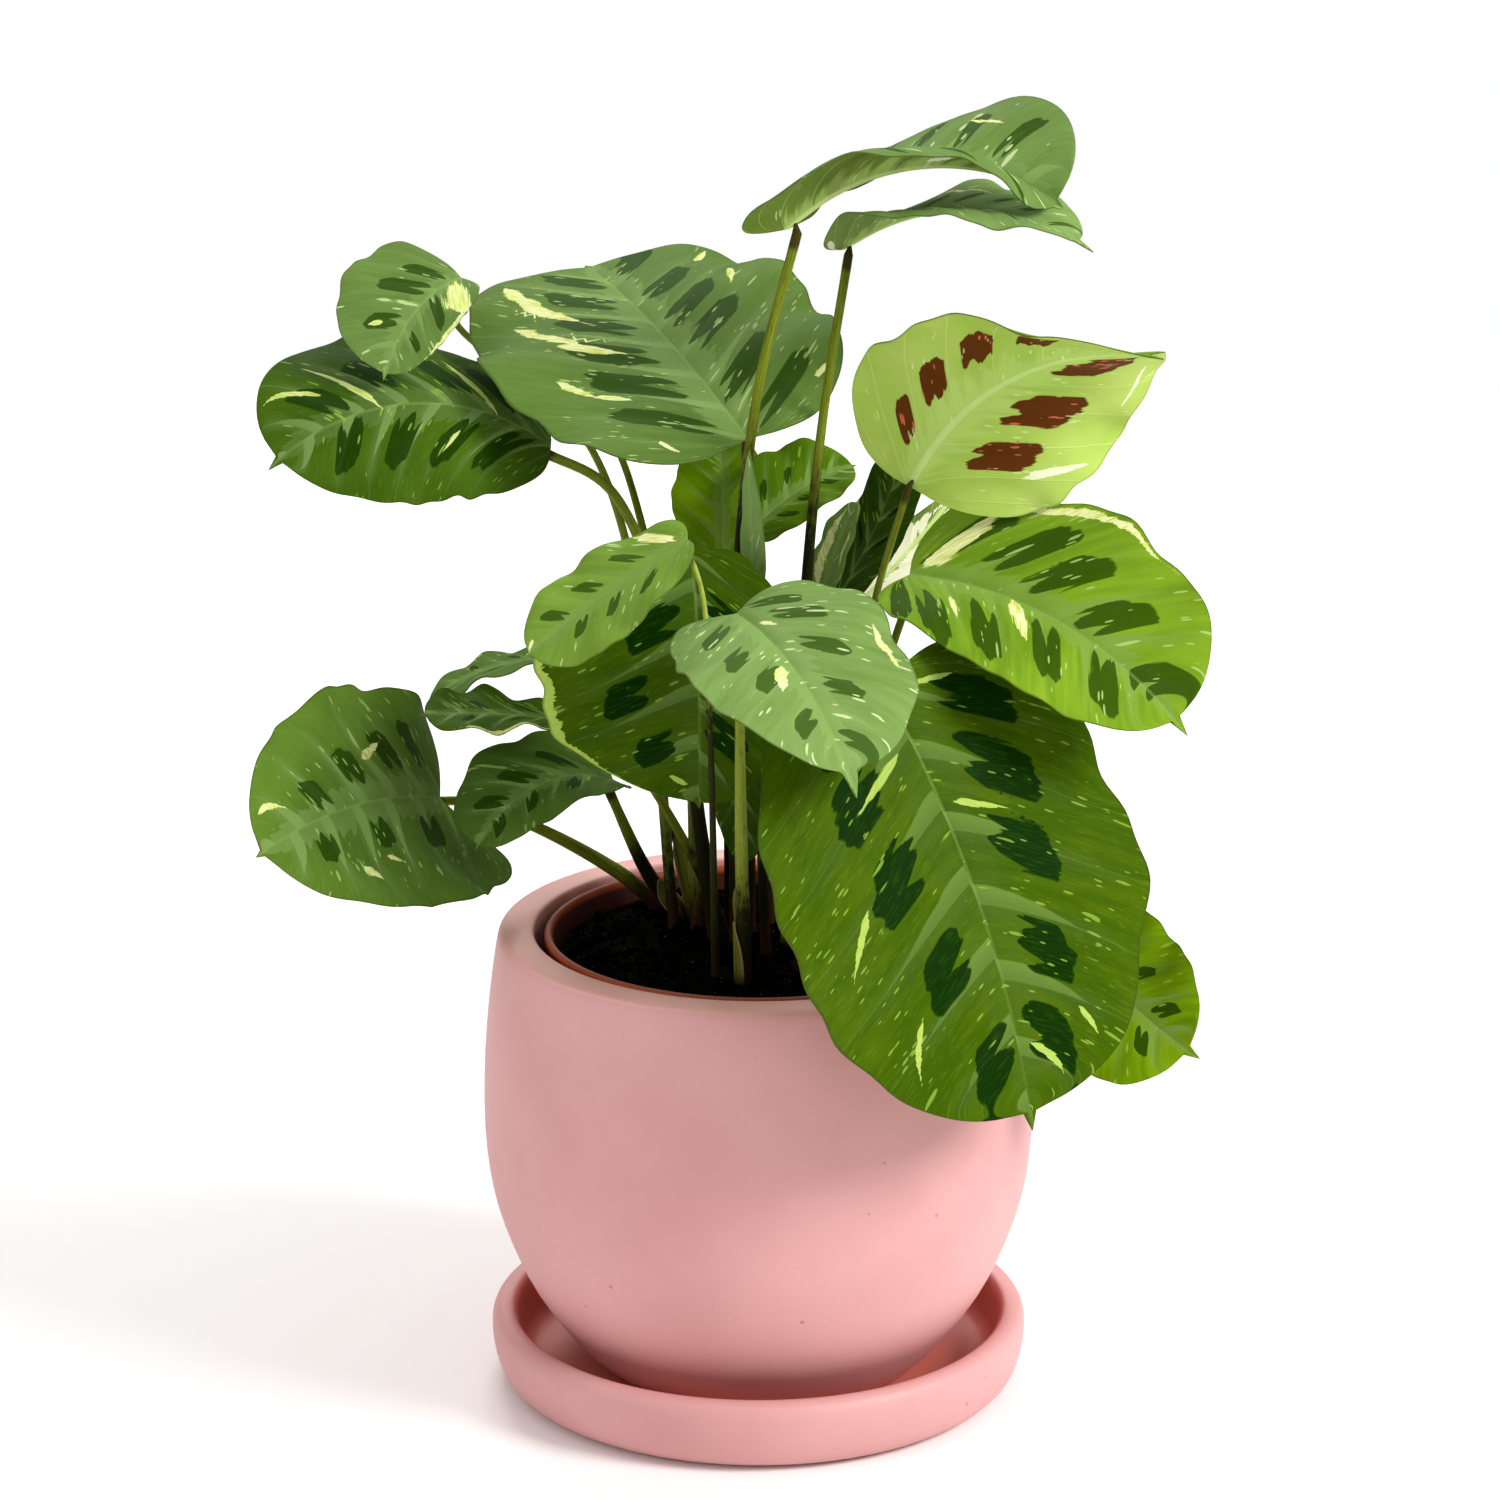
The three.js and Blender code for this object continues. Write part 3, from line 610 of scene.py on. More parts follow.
# %% Looks of the leaves
# u runs from 0 at the base to 1 at the tip, v from -1 at the left margin to 1 at the right one.
# veins: how many side veins each half has.
# grey, yellow, dark: how far the green is shifted, 0 to 1.
# spot: half length and half width of a blotch in millimetres.
# spots: where the blotches lie, as (u, v), and the size of some as a share of the others'.
# streaks: cream streaks, from (u, v) to (u, v), and their half width in millimetres.
# What a leaf leaves out is none or 0.
LOOKS = {
    "upper_left": dict(
        veins=6, grey=0.75, dark=0.3, spot=(5.6, 2.8),
        spots=[(0.38, 0.36, 1.35), (0.66, 0.32, 1.15), (0.2, 0.35), (0.7, -0.42, 0.65),
            (0.42, -0.42)],
        streaks=[(0.38, -0.97, 0.05, -0.05, 3.8), (0.3, -0.97, 0.85, -0.96, 0.8),
            (0.66, 0.3, 0.72, 0.5, 0.6)],
    ),
    "left_broad": dict(
        veins=7, dark=0.42, grey=0.0, spot=(11, 5.2),
        spots=[(0.2, 0.45), (0.38, 0.42), (0.56, 0.38), (0.74, 0.3), (0.2, -0.45), (0.38, -0.42),
            (0.56, -0.38), (0.74, -0.3)],
        streaks=[(0.19, -0.05, 0.36, 0.7, 1.0), (0.58, -0.04, 0.74, 0.79, 0.9),
            (0.73, 0.35, 0.9, 0.9, 0.8), (0.34, -0.3, 0.42, -0.56, 0.5)],
    ),
    "crown_broad": dict(
        veins=7, grey=0.5, dark=0.18, spot=(14, 6),
        spots=[(0.83, -0.27), (0.7, -0.3), (0.56, -0.31), (0.42, -0.36), (0.29, -0.38),
            (0.15, -0.46), (0.9, 0.5), (0.7, 0.33), (0.56, 0.32), (0.44, 0.33), (0.24, 0.34),
            (0.13, 0.52)],
        streaks=[(0.85, -0.84, 0.54, -0.28, 2.5), (0.64, -0.74, 0.43, -0.4, 1.9),
            (0.5, -0.6, 0.4, -0.26, 1.7), (0.38, -0.72, 0.28, -0.6, 1.4),
            (0.3, -0.62, 0.23, -0.44, 1.2), (0.78, 0.71, 0.82, 0.95, 0.9),
            (0.66, 0.74, 0.56, 0.6, 1), (0.14, 0.78, 0.17, 0.92, 1.1),
            (0.1, -0.65, 0.04, -0.76, 0.9), (0.76, -0.7, 0.68, -0.5, 0.9)],
    ),
    "top_twisted": dict(
        veins=7, grey=0.9, dark=0.25, spot=(13, 2.3),
        spots=[(0.3, -0.4), (0.42, -0.4), (0.54, -0.42), (0.66, -0.42), (0.78, -0.4), (0.3, 0.4),
            (0.5, 0.4), (0.7, 0.35)],
        streaks=[(0.66, -0.56, 0.76, -0.5, 0.9), (0.5, 0.1, 0.62, 0.3, 0.6)],
    ),
    # top_narrow's full grey, with no dark, is partly painted light that lifts a blade facing away
    # from the lamps
    "top_narrow": dict(
        veins=7, grey=1.0, spot=(5, 1.4),
        spots=[(0.24, -0.35), (0.36, -0.33), (0.48, -0.32), (0.6, -0.3), (0.72, -0.28),
            (0.84, -0.25), (0.3, 0.4), (0.47, 0.5), (0.7, 0.35)],
        streaks=[(0.0, 0.6, 0.06, 0.9, 2.5), (0.3, -0.6, 0.6, -0.5, 0.6),
            (0.5, 0.15, 0.7, 0.3, 0.6)],
    ),
    "raised_light": dict(
        veins=6, yellow=0.4, spot=(9.6, 8),
        spots=[(0.18, 0.4, 0.55), (0.34, 0.43, 0.75), (0.52, 0.5, 0.85), (0.71, 0.6, 0.8),
            (0.25, -0.46), (0.45, -0.42, 1.2), (0.7, -0.32, 1.2)],
        streaks=[(0.22, -0.66, 0.38, -0.93, 1.4), (0.6, -0.86, 0.8, -0.8, 0.7)],
    ),
    "right_round": dict(
        veins=6, yellow=0.95, grey=0.36, spot=(12.5, 6.4),
        spots=[(0.15, -0.55), (0.32, -0.5), (0.45, -0.39), (0.62, -0.3), (0.83, -0.2), (0.1, 0.7),
            (0.24, 0.7), (0.38, 0.56), (0.55, 0.4), (0.74, 0.34)],
        streaks=[(0.04, -0.12, 0.22, -0.84, 3.3), (0.2, -0.88, 0.68, -0.97, 1.2),
            (0.34, 0.0, 0.52, 0.5, 1.6), (0.2, 0.3, 0.3, 0.6, 0.8)],
    ),
    "front_hanging": dict(
        veins=6, yellow=0.8, dark=0.72, spot=(12.5, 9.6),
        spots=[(0.13, -0.56), (0.27, -0.42), (0.43, -0.36), (0.64, -0.31), (0.81, -0.26),
            (0.09, 0.5), (0.23, 0.44), (0.4, 0.38), (0.61, 0.3), (0.83, 0.23)],
        streaks=[(0.43, 0.56, 0.57, 0.78, 0.9), (0.15, 0.12, 0.26, 0.48, 1.1),
            (0.68, 0.52, 0.83, 0.8, 0.9), (0.81, -0.08, 0.91, -0.5, 1.0),
            (0.77, -0.48, 0.85, -0.72, 0.9), (0.04, -0.3, 0.09, -0.66, 1.0),
            (0.28, -0.06, 0.35, -0.36, 1.1)],
    ),
    "centre_pale": dict(
        veins=6, grey=1.0, dark=0.08, spot=(7, 3.6),
        spots=[(0.09, -0.46), (0.21, -0.42), (0.39, -0.36), (0.58, -0.29), (0.8, -0.3),
            (0.18, 0.5), (0.36, 0.48), (0.48, 0.33), (0.7, 0.3)],
        streaks=[(0.42, 0.12, 0.56, 0.3, 1.5), (0.37, -0.84, 0.58, -0.86, 1.2),
            (0.14, -0.06, 0.22, -0.2, 0.9)],
    ),
    "young_folded": dict(
        veins=5, yellow=0.75, grey=0.8, spot=(4.6, 2.5),
        spots=[(0.32, 0.45), (0.55, 0.38), (0.76, 0.33), (0.28, -0.45), (0.48, -0.32),
            (0.68, -0.28)],
        streaks=[(0.27, 0.98, 0.03, 0.05, 2), (0.92, 0.2, 1.0, 0.4, 2)],
    ),
    "dark_hanging": dict(
        veins=5, dark=0.74, yellow=0.6, spot=(9, 6),
        spots=[(0.29, 0.3), (0.55, 0.46), (0.75, 0.33), (0.3, -0.4), (0.5, -0.4), (0.7, -0.35)],
        streaks=[(0.32, 0.98, 1.1, 0.98, 2.6), (0.86, 0.3, 0.9, 0.1, 1.2)],
    ),
    "far_left": dict(
        veins=6, grey=0.28, dark=0.2, yellow=0.12, spot=(7.4, 5),
        spots=[(0.47, 0.34), (0.29, 0.44), (0.65, 0.22), (0.74, -0.25), (0.47, -0.27),
            (0.24, -0.36), (0.17, 0.55)],
        streaks=[(0.93, 0.66, 0.78, 0.22, 1.1), (0.69, -0.5, 0.67, -0.68, 2.4),
            (0.4, 0.36, 0.3, 0.53, 1.3), (0.55, -0.45, 0.5, -0.55, 1)],
    ),
    "left_low": dict(
        veins=5, dark=0.22, grey=0.3, spot=(5.4, 3),
        spots=[(0.3, 0.4), (0.54, 0.32), (0.74, 0.3), (0.35, -0.35), (0.61, -0.3), (0.82, -0.2)],
    ),
    "left_lower_edge": dict(
        veins=5, dark=0.3, spot=(4, 1.6),
        spots=[(0.3, 0.4), (0.6, 0.35), (0.4, -0.4), (0.7, -0.3)],
        streaks=[(0.2, -0.95, 0.9, -0.95, 1.2)],
    ),
    "left_upper_edge": dict(
        veins=5, dark=0.1, grey=0.4, spot=(3.5, 1.5),
        spots=[(0.3, 0.4), (0.6, 0.35), (0.4, -0.4)],
    ),
    "right_low": dict(
        veins=5, yellow=0.9, dark=0.12, spot=(5, 2.6),
        spots=[(0.3, 0.45), (0.5, 0.4), (0.72, 0.3), (0.3, -0.45), (0.5, -0.4), (0.72, -0.3)],
    ),
    "inner_spotted": dict(
        veins=5, yellow=0.3, spot=(3.2, 1.6),
        spots=[(0.3, 0.45), (0.5, 0.4), (0.72, 0.3), (0.3, -0.45), (0.5, -0.4), (0.72, -0.3)],
    ),
    "inner_upright": dict(veins=5, yellow=0.8, spot=(3, 1.2)),
    "inner_striped": dict(
        veins=4, grey=1.0, spot=(3, 1),
        streaks=[(0.05, -0.6, 0.95, -0.5, 1.6), (0.3, 0.6, 0.8, 0.6, 0.5)],
    ),
    "inner_dark": dict(
        veins=5, dark=0.7, spot=(3, 1.4),
        spots=[(0.4, 0.4), (0.6, 0.4), (0.4, -0.4)],
    ),
    "inner_white": dict(
        veins=5, grey=0.9, spot=(3, 1.2),
        streaks=[(0.0, -0.5, 1.0, -0.4, 4), (0.0, 0.5, 1.0, 0.4, 4)],
    ),
    "new_rolled": dict(
        veins=4, grey=1.0, spot=(2, 0.8), streaks=[(0.9, 0.5, 1.0, 0.2, 1.5)],
    ),
    "inner_drooping": dict(veins=4, dark=0.6, spot=(2.5, 1)),
    "back_hidden": dict(
        veins=6, grey=0.4, spot=(5.5, 2.6),
        spots=[(0.2, 0.45), (0.4, 0.4), (0.6, 0.35), (0.8, 0.25), (0.2, -0.45), (0.4, -0.4),
            (0.6, -0.35)],
    ),
}
for kind in "spots", "streaks":
    print(kind + ":", sum(len(look.get(kind, [])) for look in LOOKS.values()))


# %% Fields of a blade
def flat_place(leaf, u, v):
    """Place on the flattened leaf: across the veins and along them, in millimetres."""
    v = np.asarray(v, dtype=float)
    share = outline(np.asarray(u, dtype=float), leaf.get("tip", POINT_START))
    return vein_phase(u, v, leaf["length"]), v * half_value(leaf, "widths", v) * share


def blotch_places(leaf, look, u, v):
    """For the nearest blotch: the place across it and outward along it, each -1 to 1 within the
    blotch, its number, and how near it is: 1 in its middle, 0 at its edge and below 0 outside."""
    across, along = flat_place(leaf, u, v)
    nearness = np.full(len(u), -2.0)
    sideways, outward, number = np.full((3, len(u)), 9.0)
    for count, (spot_u, spot_v, *size) in enumerate(look.get("spots", [])):
        spot_across, spot_along = flat_place(leaf, spot_u, spot_v)
        length, width = np.array(look["spot"]) * (size[0] if size else 1)
        near_tip = 1 - 0.45 * spot_u
        side = (across - spot_across) / (width * near_tip ** 0.4)
        out = (along - spot_along) / (length * near_tip) * math.copysign(1, spot_v)
        here = 1 - (np.abs(side) ** 3 + np.abs(out) ** 3) ** (1 / 3)
        nearest = here > nearness
        nearness[nearest] = here[nearest]
        sideways[nearest], outward[nearest], number[nearest] = side[nearest], out[nearest], count
    return sideways, outward, number, np.maximum(nearness, -1)


def streak_places(leaf, streaks, u, v):
    """For the nearest streak: the distance from its line, left or right of it, the share along it,
    its half width, and how near it is, 1 on the line and below 0 well away from it."""
    x = np.asarray(v) * half_value(leaf, "widths", v)
    y = u * leaf["length"]
    nearness = np.full(len(u), -2.0)
    aside, share, half = np.full((3, len(u)), 9.0)
    for u0, v0, u1, v1, width in streaks:
        start = np.array([v0 * leaf["widths"][v0 > 0], u0 * leaf["length"]])
        end = np.array([v1 * leaf["widths"][v1 > 0], u1 * leaf["length"]])
        line = end - start
        length = np.hypot(*line)
        part = ((x - start[0]) * line[0] + (y - start[1]) * line[1]) / length ** 2
        side = ((x - start[0]) * line[1] - (y - start[1]) * line[0]) / length
        beyond = length * (part - np.clip(part, 0, 1))
        here = 1 - np.hypot(side, beyond) / (2 * width + 2.5)
        nearest = here > nearness
        nearness[nearest] = here[nearest]
        aside[nearest], share[nearest], half[nearest] = side[nearest], part[nearest], width
    return aside, share, half, np.maximum(nearness, -1)


def store_fields(mesh, leaf, look, seed):
    """Writes the fields that the finishes of a blade read."""
    u, v = shares(mesh)
    store(mesh, "vein_map", staggered_phase(u, v, look["veins"]), v, u)
    store(mesh, "grain", *flat_place(leaf, u, v), seed * 37.0)
    sideways, outward, number, nearness = blotch_places(leaf, look, u, v)
    store(mesh, "blotches", sideways, outward, number + seed * 7.3)
    marks = [nearness]
    for half in (0, 1):  # neighbours in the list never share a field
        streaks = look.get("streaks", [])[half::2]
        *line, near_streak = streak_places(leaf, streaks, u, v)
        store(mesh, f"streaks_{half}", *line)
        marks.append(near_streak)
    store(mesh, "marks", *marks)
    store(mesh, "tint", *(look.get(key, 0.0) for key in ("grey", "yellow", "dark")))


sample = np.array([0.38]), np.array([0.42])  # u and v of left_broad's second blotch
nearest = blotch_places(LEAVES["left_broad"], LOOKS["left_broad"], *sample)
print("blotch number and nearness in its middle:", nearest[2], nearest[3])

# %% [markdown]
# ## Finishes
# All finishes are procedural. A small helper wires the nodes, so that each finish is written as
# plain sums and reads from top to bottom like a recipe. Roughness is the same all over a surface,
# so it is set on the shader.


# %% Outputs that are reckoned with like numbers
class Value:
    """The output of a node. It is reckoned with like a number, and each step adds a node."""

    def __init__(self, finish, socket):
        self.finish, self.socket = finish, socket

    def __add__(self, other):
        return self.finish.math("ADD", self, other)

    def __sub__(self, other):
        return self.finish.math("SUBTRACT", self, other)

    def __rsub__(self, other):
        return self.finish.math("SUBTRACT", other, self)

    def __mul__(self, other):
        return self.finish.math("MULTIPLY", self, other)

    def __abs__(self):
        return self.finish.math("ABSOLUTE", self)

    __radd__ = __add__

    def fract(self):
        return self.finish.math("FRACT", self)

    def step(self, low, high):
        """0 below low, 1 above high, and soft in between. Low may be the larger one."""
        values = {"Value": self, "From Min": low, "From Max": high}
        return self.finish.node("ShaderNodeMapRange", values, interpolation_type="SMOOTHSTEP")[0]

    def towards(self, other, share):
        """This colour, gone over to the other one by that share."""
        return self.finish.mix(share, self, other)


# %% A helper that wires nodes
class Finish:
    """Builds a material node by node, out of values and plain numbers."""

    def __init__(self, name, roughness, specular=0.5):
        self.material = bpy.data.materials.new(name)
        self.material.use_nodes = True
        self.tree = self.material.node_tree
        self.shader = self.tree.nodes["Principled BSDF"]
        self.shader.inputs["Roughness"].default_value = roughness
        self.shader.inputs["Specular IOR Level"].default_value = specular

    def node(self, kind, values=(), **settings):
        """Adds a node, feeds its inputs and returns all that it puts out."""
        made = self.tree.nodes.new(kind)
        for key, value in settings.items():
            setattr(made, key, value)
        for key, value in dict(values).items():
            if isinstance(value, Value):
                self.tree.links.new(value.socket, made.inputs[key])
            else:
                made.inputs[key].default_value = value
        return [Value(self, socket) for socket in made.outputs]

    def math(self, operation, *values):
        return self.node("ShaderNodeMath", enumerate(values), operation=operation)[0]

    def split(self, vector):
        return self.node("ShaderNodeSeparateXYZ", {0: vector})

    def join(self, x, y, z):
        return self.node("ShaderNodeCombineXYZ", {0: x, 1: y, 2: z})[0]

    def field(self, name):
        """The three numbers that the mesh has stored under this name at its points."""
        return self.split(self.node("ShaderNodeAttribute", attribute_name=name)[1])

    def place(self):
        return self.node("ShaderNodeTexCoord")[3]  # as the object itself counts it

    def noise(self, vector, scale, detail=2.0, roughness=0.5):
        values = {"Vector": vector, "Scale": scale, "Detail": detail, "Roughness": roughness}
        return self.node("ShaderNodeTexNoise", values)[0]

    def cells(self, vector, scale):
        """The distance to the nearest of many scattered dots."""
        return self.node("ShaderNodeTexVoronoi", {"Vector": vector, "Scale": scale})[0]

    def mix(self, share, first, second):
        return self.node("ShaderNodeMix", {0: share, 6: first, 7: second}, data_type="RGBA")[2]

    def done(self, colour, height, depth, strength):
        """Gives the shader its colour and a bump as deep as this, in metres."""
        values = {"Height": height, "Distance": depth, "Strength": strength}
        bump = self.node("ShaderNodeBump", values)[0]
        self.tree.links.new(colour.socket, self.shader.inputs["Base Color"])
        self.tree.links.new(bump.socket, self.shader.inputs["Normal"])
        print("finish:", self.material.name, "nodes:", len(self.tree.nodes))
        return self.material


# %% What the finishes of a blade share
class LeafFinish(Finish):
    """A finish that has the fields of the blade and the noise along its veins at hand."""

    def __init__(self, name, roughness, specular):
        super().__init__(name, roughness, specular)
        self.phase, self.v, self.u = self.field("vein_map")
        self.grain = self.field("grain")
        self.near_blotch, *self.near_streaks = self.field("marks")
        self.out = abs(self.v)
        self.off_midrib = abs(self.grain[1])
        self.strokes = self.streaky(0.3, 0.05, 1.0) - 0.5
        self.fine = self.streaky(1.5, 0.2) - 0.5
        self.ragged = self.strokes + self.fine * 0.35

    def streaky(self, across, along, detail=2.0):
        """Noise drawn out along the veins, with so many features per millimetre each way."""
        x, y, z = self.grain
        return self.noise(self.join(x * across, y * along, z), 1.0, detail)

    def vein_lines(self, width):
        """Thin lines over the side veins."""
        return abs(self.phase.fract() - 0.5).step(0.5 - width, 0.5)

    def dashes(self, wide, long, most, seed):
        """Short dashes along the veins: one to a cell of so many mm, many of them missing."""
        x, y, z = self.grain
        cell = self.join(x * (1 / wide), y * (1 / long), z + seed)
        crowd = self.noise(self.join(x * 0.1, y * 0.1, z), 1.0)
        size = crowd.step(0.34, 0.6) * most
        return (self.cells(cell, 1.0) - size).step(0.0, -0.04)

    def blotches(self, toothed):
        """1 inside the blotches: strokes with teeth towards the midrib and a blunt far end."""
        side, out, number = self.field("blotches")
        side = side + self.ragged * 0.35
        stroke = (side * 0.85 + number * 0.27).fract()
        between = abs(stroke - 0.5) * 2.0
        away = abs(side)
        inner = out + 1.02 - between * between * toothed + self.ragged * 0.8
        outer = 1.0 - out - away * away * 0.35 - between * 0.12 + self.ragged * 0.5
        edge = 1.0 - away + self.ragged * 0.5
        depth = self.math("MINIMUM", self.math("MINIMUM", inner, outer), edge)
        return depth.step(0.0, 0.09) * self.near_blotch.step(-0.08, 0.0)

    def cream_streaks(self):
        """1 inside the cream streaks: tapered, with edges that run along the veins."""
        uneven = self.strokes * 1.5 + self.fine * 1.3
        shapes = []
        for number, nearness in enumerate(self.near_streaks):
            aside, share, half = self.field(f"streaks_{number}")
            taper = share.step(-0.02, 0.22) * share.step(1.02, 0.5)
            inside = (half * (taper + uneven) - abs(aside)).step(0.0, 0.12)
            shapes.append(inside * nearness.step(0.0, 0.1) * taper.step(0.0, 0.1))
        return self.math("MAXIMUM", *shapes)

    def dark_margin(self, colour, edge, strength):
        return colour.towards(edge, self.out.step(0.98, 0.995) * strength)


# %% [markdown]
# ### Leaf, upper side
# Mid green, livelier or darker on some leaves, with fine light strokes along the veins. Over it
# come, in this order: the grey-green sheen of the paler leaves, the feathered band along the
# midrib, the pale crescents beside the side veins, the soft light around those veins and the veins
# themselves, the dark blotches, the flecks, the cream streaks, the pale midrib and the thin dark
# margin. A blotch is two or three strokes of dark green side by side, drawn out to teeth towards
# the midrib and blunt at the far end.


# %% Leaf, upper side
def leaf_upper():
    leaf = LeafFinish("leaf_upper", roughness=0.5, specular=0.015)
    u, v, out = leaf.u, leaf.v, leaf.out
    strokes, fine, ragged = leaf.strokes, leaf.fine, leaf.ragged
    grey, yellow, dark = leaf.field("tint")
    cloud = leaf.noise(leaf.place(), 32.0, 3.0)

    colour = leaf.mix(cloud.step(0.3, 0.7), srgb(60, 94, 14), srgb(82, 116, 24))
    patches = (cloud + strokes).step(0.25, 0.75)
    lively = leaf.mix(patches, srgb(98, 136, 0), srgb(128, 162, 10))
    colour = colour.towards(lively, yellow).towards(srgb(26, 50, 0), dark)
    colour = colour.towards(srgb(150, 180, 60), fine.step(0.02, 0.25) * 0.1)

    sheen = leaf.mix(yellow, srgb(128, 158, 86), srgb(120, 152, 60))
    crest = sheen.towards(srgb(44, 68, 22), dark * 0.6)
    sheen = sheen.towards(srgb(44, 68, 22), dark * 1.15)
    colour = colour.towards(sheen, grey * (0.78 + fine * 0.4 + strokes * 0.6))

    feathers = (leaf.phase * 3.0).fract() * 0.07 + ragged * 0.15
    band = (0.2 - u * 0.08 + feathers - out).step(0.0, 0.03)
    colour = colour.towards(sheen, band * (0.6 + grey * 0.35 - dark * 0.5))

    taper = out.step(0.66, 0.08) * 0.28
    crescent = (taper + leaf.phase.fract() - 1.0 + ragged * 0.12).step(0.0, 0.03)
    colour = colour.towards(crest, crescent * (0.85 - v * 0.3))
    colour = colour.towards(sheen, leaf.vein_lines(0.26) * out.step(0.95, 0.5) * 0.38)
    side_veins = leaf.vein_lines(0.02)
    colour = colour.towards(crest, side_veins * 0.3)

    deep_green = leaf.mix(dark * 1.3, srgb(42, 70, 4), srgb(0, 34, 0))
    deep_green = deep_green.towards(srgb(36, 80, 6), fine.step(0.0, 0.2) * 0.35)
    colour = colour.towards(deep_green, leaf.blotches(toothed=0.75) * (0.95 - grey * 0.15))

    fleck = leaf.mix(grey, srgb(158, 190, 78), srgb(206, 220, 162))
    fleck = fleck.towards(srgb(96, 136, 22), dark * 0.6)
    small = leaf.dashes(2.0, 7.0, 0.22, seed=5.0)
    large = leaf.dashes(4.0, 22.0, 0.17, seed=9.0)
    colour = colour.towards(fleck, leaf.math("MAXIMUM", small, large) * (0.62 + grey * 0.2))

    cream = leaf.mix(fine.step(-0.02, 0.12), srgb(236, 236, 176), srgb(196, 208, 92))
    cream = cream.towards(srgb(150, 180, 66), dark * 1.2)
    colour = colour.towards(cream, leaf.cream_streaks())

    midrib = leaf.off_midrib.step(0.75, 0.3)
    colour = colour.towards(srgb(132, 160, 84), midrib * (0.6 - u * 0.3 - dark * 0.35))
    colour = leaf.dark_margin(colour, srgb(58, 66, 24), 0.5)
    relief = fine * 0.7 + strokes * 0.6 - side_veins * 0.8
    return leaf.done(colour, relief, depth=0.0003, strength=0.35)


leaf_top_finish = leaf_upper()


# %% [markdown]
# ### Leaf, underside
# The back of a leaf is lighter and duller than its face. The veins stand out there, and the dark
# blotches show through as brown or maroon. It uses the same fields as the upper side, so both
# patterns lie over each other as on the real leaf, and one function makes it in two colours: the
# leaf that is lifted against the light is much brighter than the others.


# %% Leaf, underside
def leaf_under(name, base, pale, blotch_colour, strength):
    """Underside: lighter and duller, with the veins raised and the blotches maroon."""
    leaf = LeafFinish(name, roughness=0.55, specular=0.03)
    cloud = leaf.noise(leaf.place(), 34.0, 3.0)
    colour = leaf.mix(cloud.step(0.25, 0.75), base, pale)
    side_veins = leaf.vein_lines(0.035)
    colour = colour.towards(srgb(206, 226, 140), side_veins * 0.35)
    near_midrib = (leaf.out - leaf.ragged * 0.7).step(0.3, 0.1)
    colour = colour.towards(srgb(186, 216, 120), near_midrib * 0.5)
    flecks = leaf.dashes(2.0, 5.0, 0.3, seed=3.0)
    maroon = leaf.mix(flecks * 0.9, blotch_colour, srgb(208, 104, 76))
    colour = colour.towards(maroon, leaf.blotches(toothed=0.3) * strength)
    bright = leaf.dashes(2.4, 7.0, 0.2, seed=8.0)
    colour = colour.towards(srgb(226, 240, 176), bright * 0.5)
    colour = colour.towards(srgb(240, 240, 208), leaf.cream_streaks() * 0.85)
    colour = colour.towards(srgb(200, 222, 140), leaf.off_midrib.step(1.1, 0.5) * 0.7)
    colour = leaf.dark_margin(colour, srgb(96, 110, 50), 0.35)
    relief = side_veins * 0.8 + leaf.fine * 0.6
    return leaf.done(colour, relief, depth=0.0003, strength=0.45)


leaf_back_finish = leaf_under(
    "leaf_back", srgb(92, 116, 40), srgb(120, 142, 66), srgb(78, 50, 26), strength=0.3,
)
leaf_back_light_finish = leaf_under(
    "leaf_back_light", srgb(156, 186, 74), srgb(182, 205, 104), srgb(92, 48, 14), strength=1.0,
)

# %% [markdown]
# ### Make the blades
# Each copy of the flat blade is bent, given its fields, and thickened on both sides alike by a
# Solidify modifier. The blade is thinner at its margin, where a real leaf's edge is sharp.

# %% Blades
EDGE_THICKNESS = 0.45  # of a blade at its margin, as a share of its thickness
BLADE_EDGE_ANGLE = 50  # degrees: only the rim of a blade turns by more
for number, (name, leaf) in enumerate(LEAVES.items()):
    look = LOOKS[name]
    blade = copy_of(flat_blade, "leaf_" + name)
    store_fields(blade.data, leaf, look, number + 1)
    u, v = shares(blade.data)
    move_points(blade.data, bend(leaf, u, v, relief_of(leaf, u, v, look["veins"])) * MM)
    edge = blade.vertex_groups.new(name="thickness")
    thin = np.clip(np.minimum((1 - np.abs(v)) * 6, np.minimum(u, 1 - u) * 25), 0, 1)
    for index, share in enumerate(thin):
        thickness = EDGE_THICKNESS + (1 - EDGE_THICKNESS) * float(share)
        edge.add([index], thickness, "REPLACE")
    light = name == "raised_light"
    finishes = [leaf_top_finish, leaf_back_light_finish if light else leaf_back_finish]
    dress(blade, "blade_" + name, "leaf_underside" if light else "leaf_green", *finishes)
    apply_modifier(
        blade, "SOLIDIFY",
        thickness=BLADE * MM, offset=0, vertex_group="thickness", material_offset=1,
    )
    shade_smooth(blade, BLADE_EDGE_ANGLE)
print("blades:", len(LEAVES), "faces each:", len(blade.data.polygons))
bpy.data.objects.remove(flat_blade)

# %% [markdown]
# ### Stalks
# A stalk is a round rod, so one rod is made from a cylinder whose side is cut into rings, and each
# copy of it is bent along a smooth curve through the leaf's own points. It is thickest at the foot,
# where it sheathes the shoot, and has a dark joint just under the blade that turns the leaf.

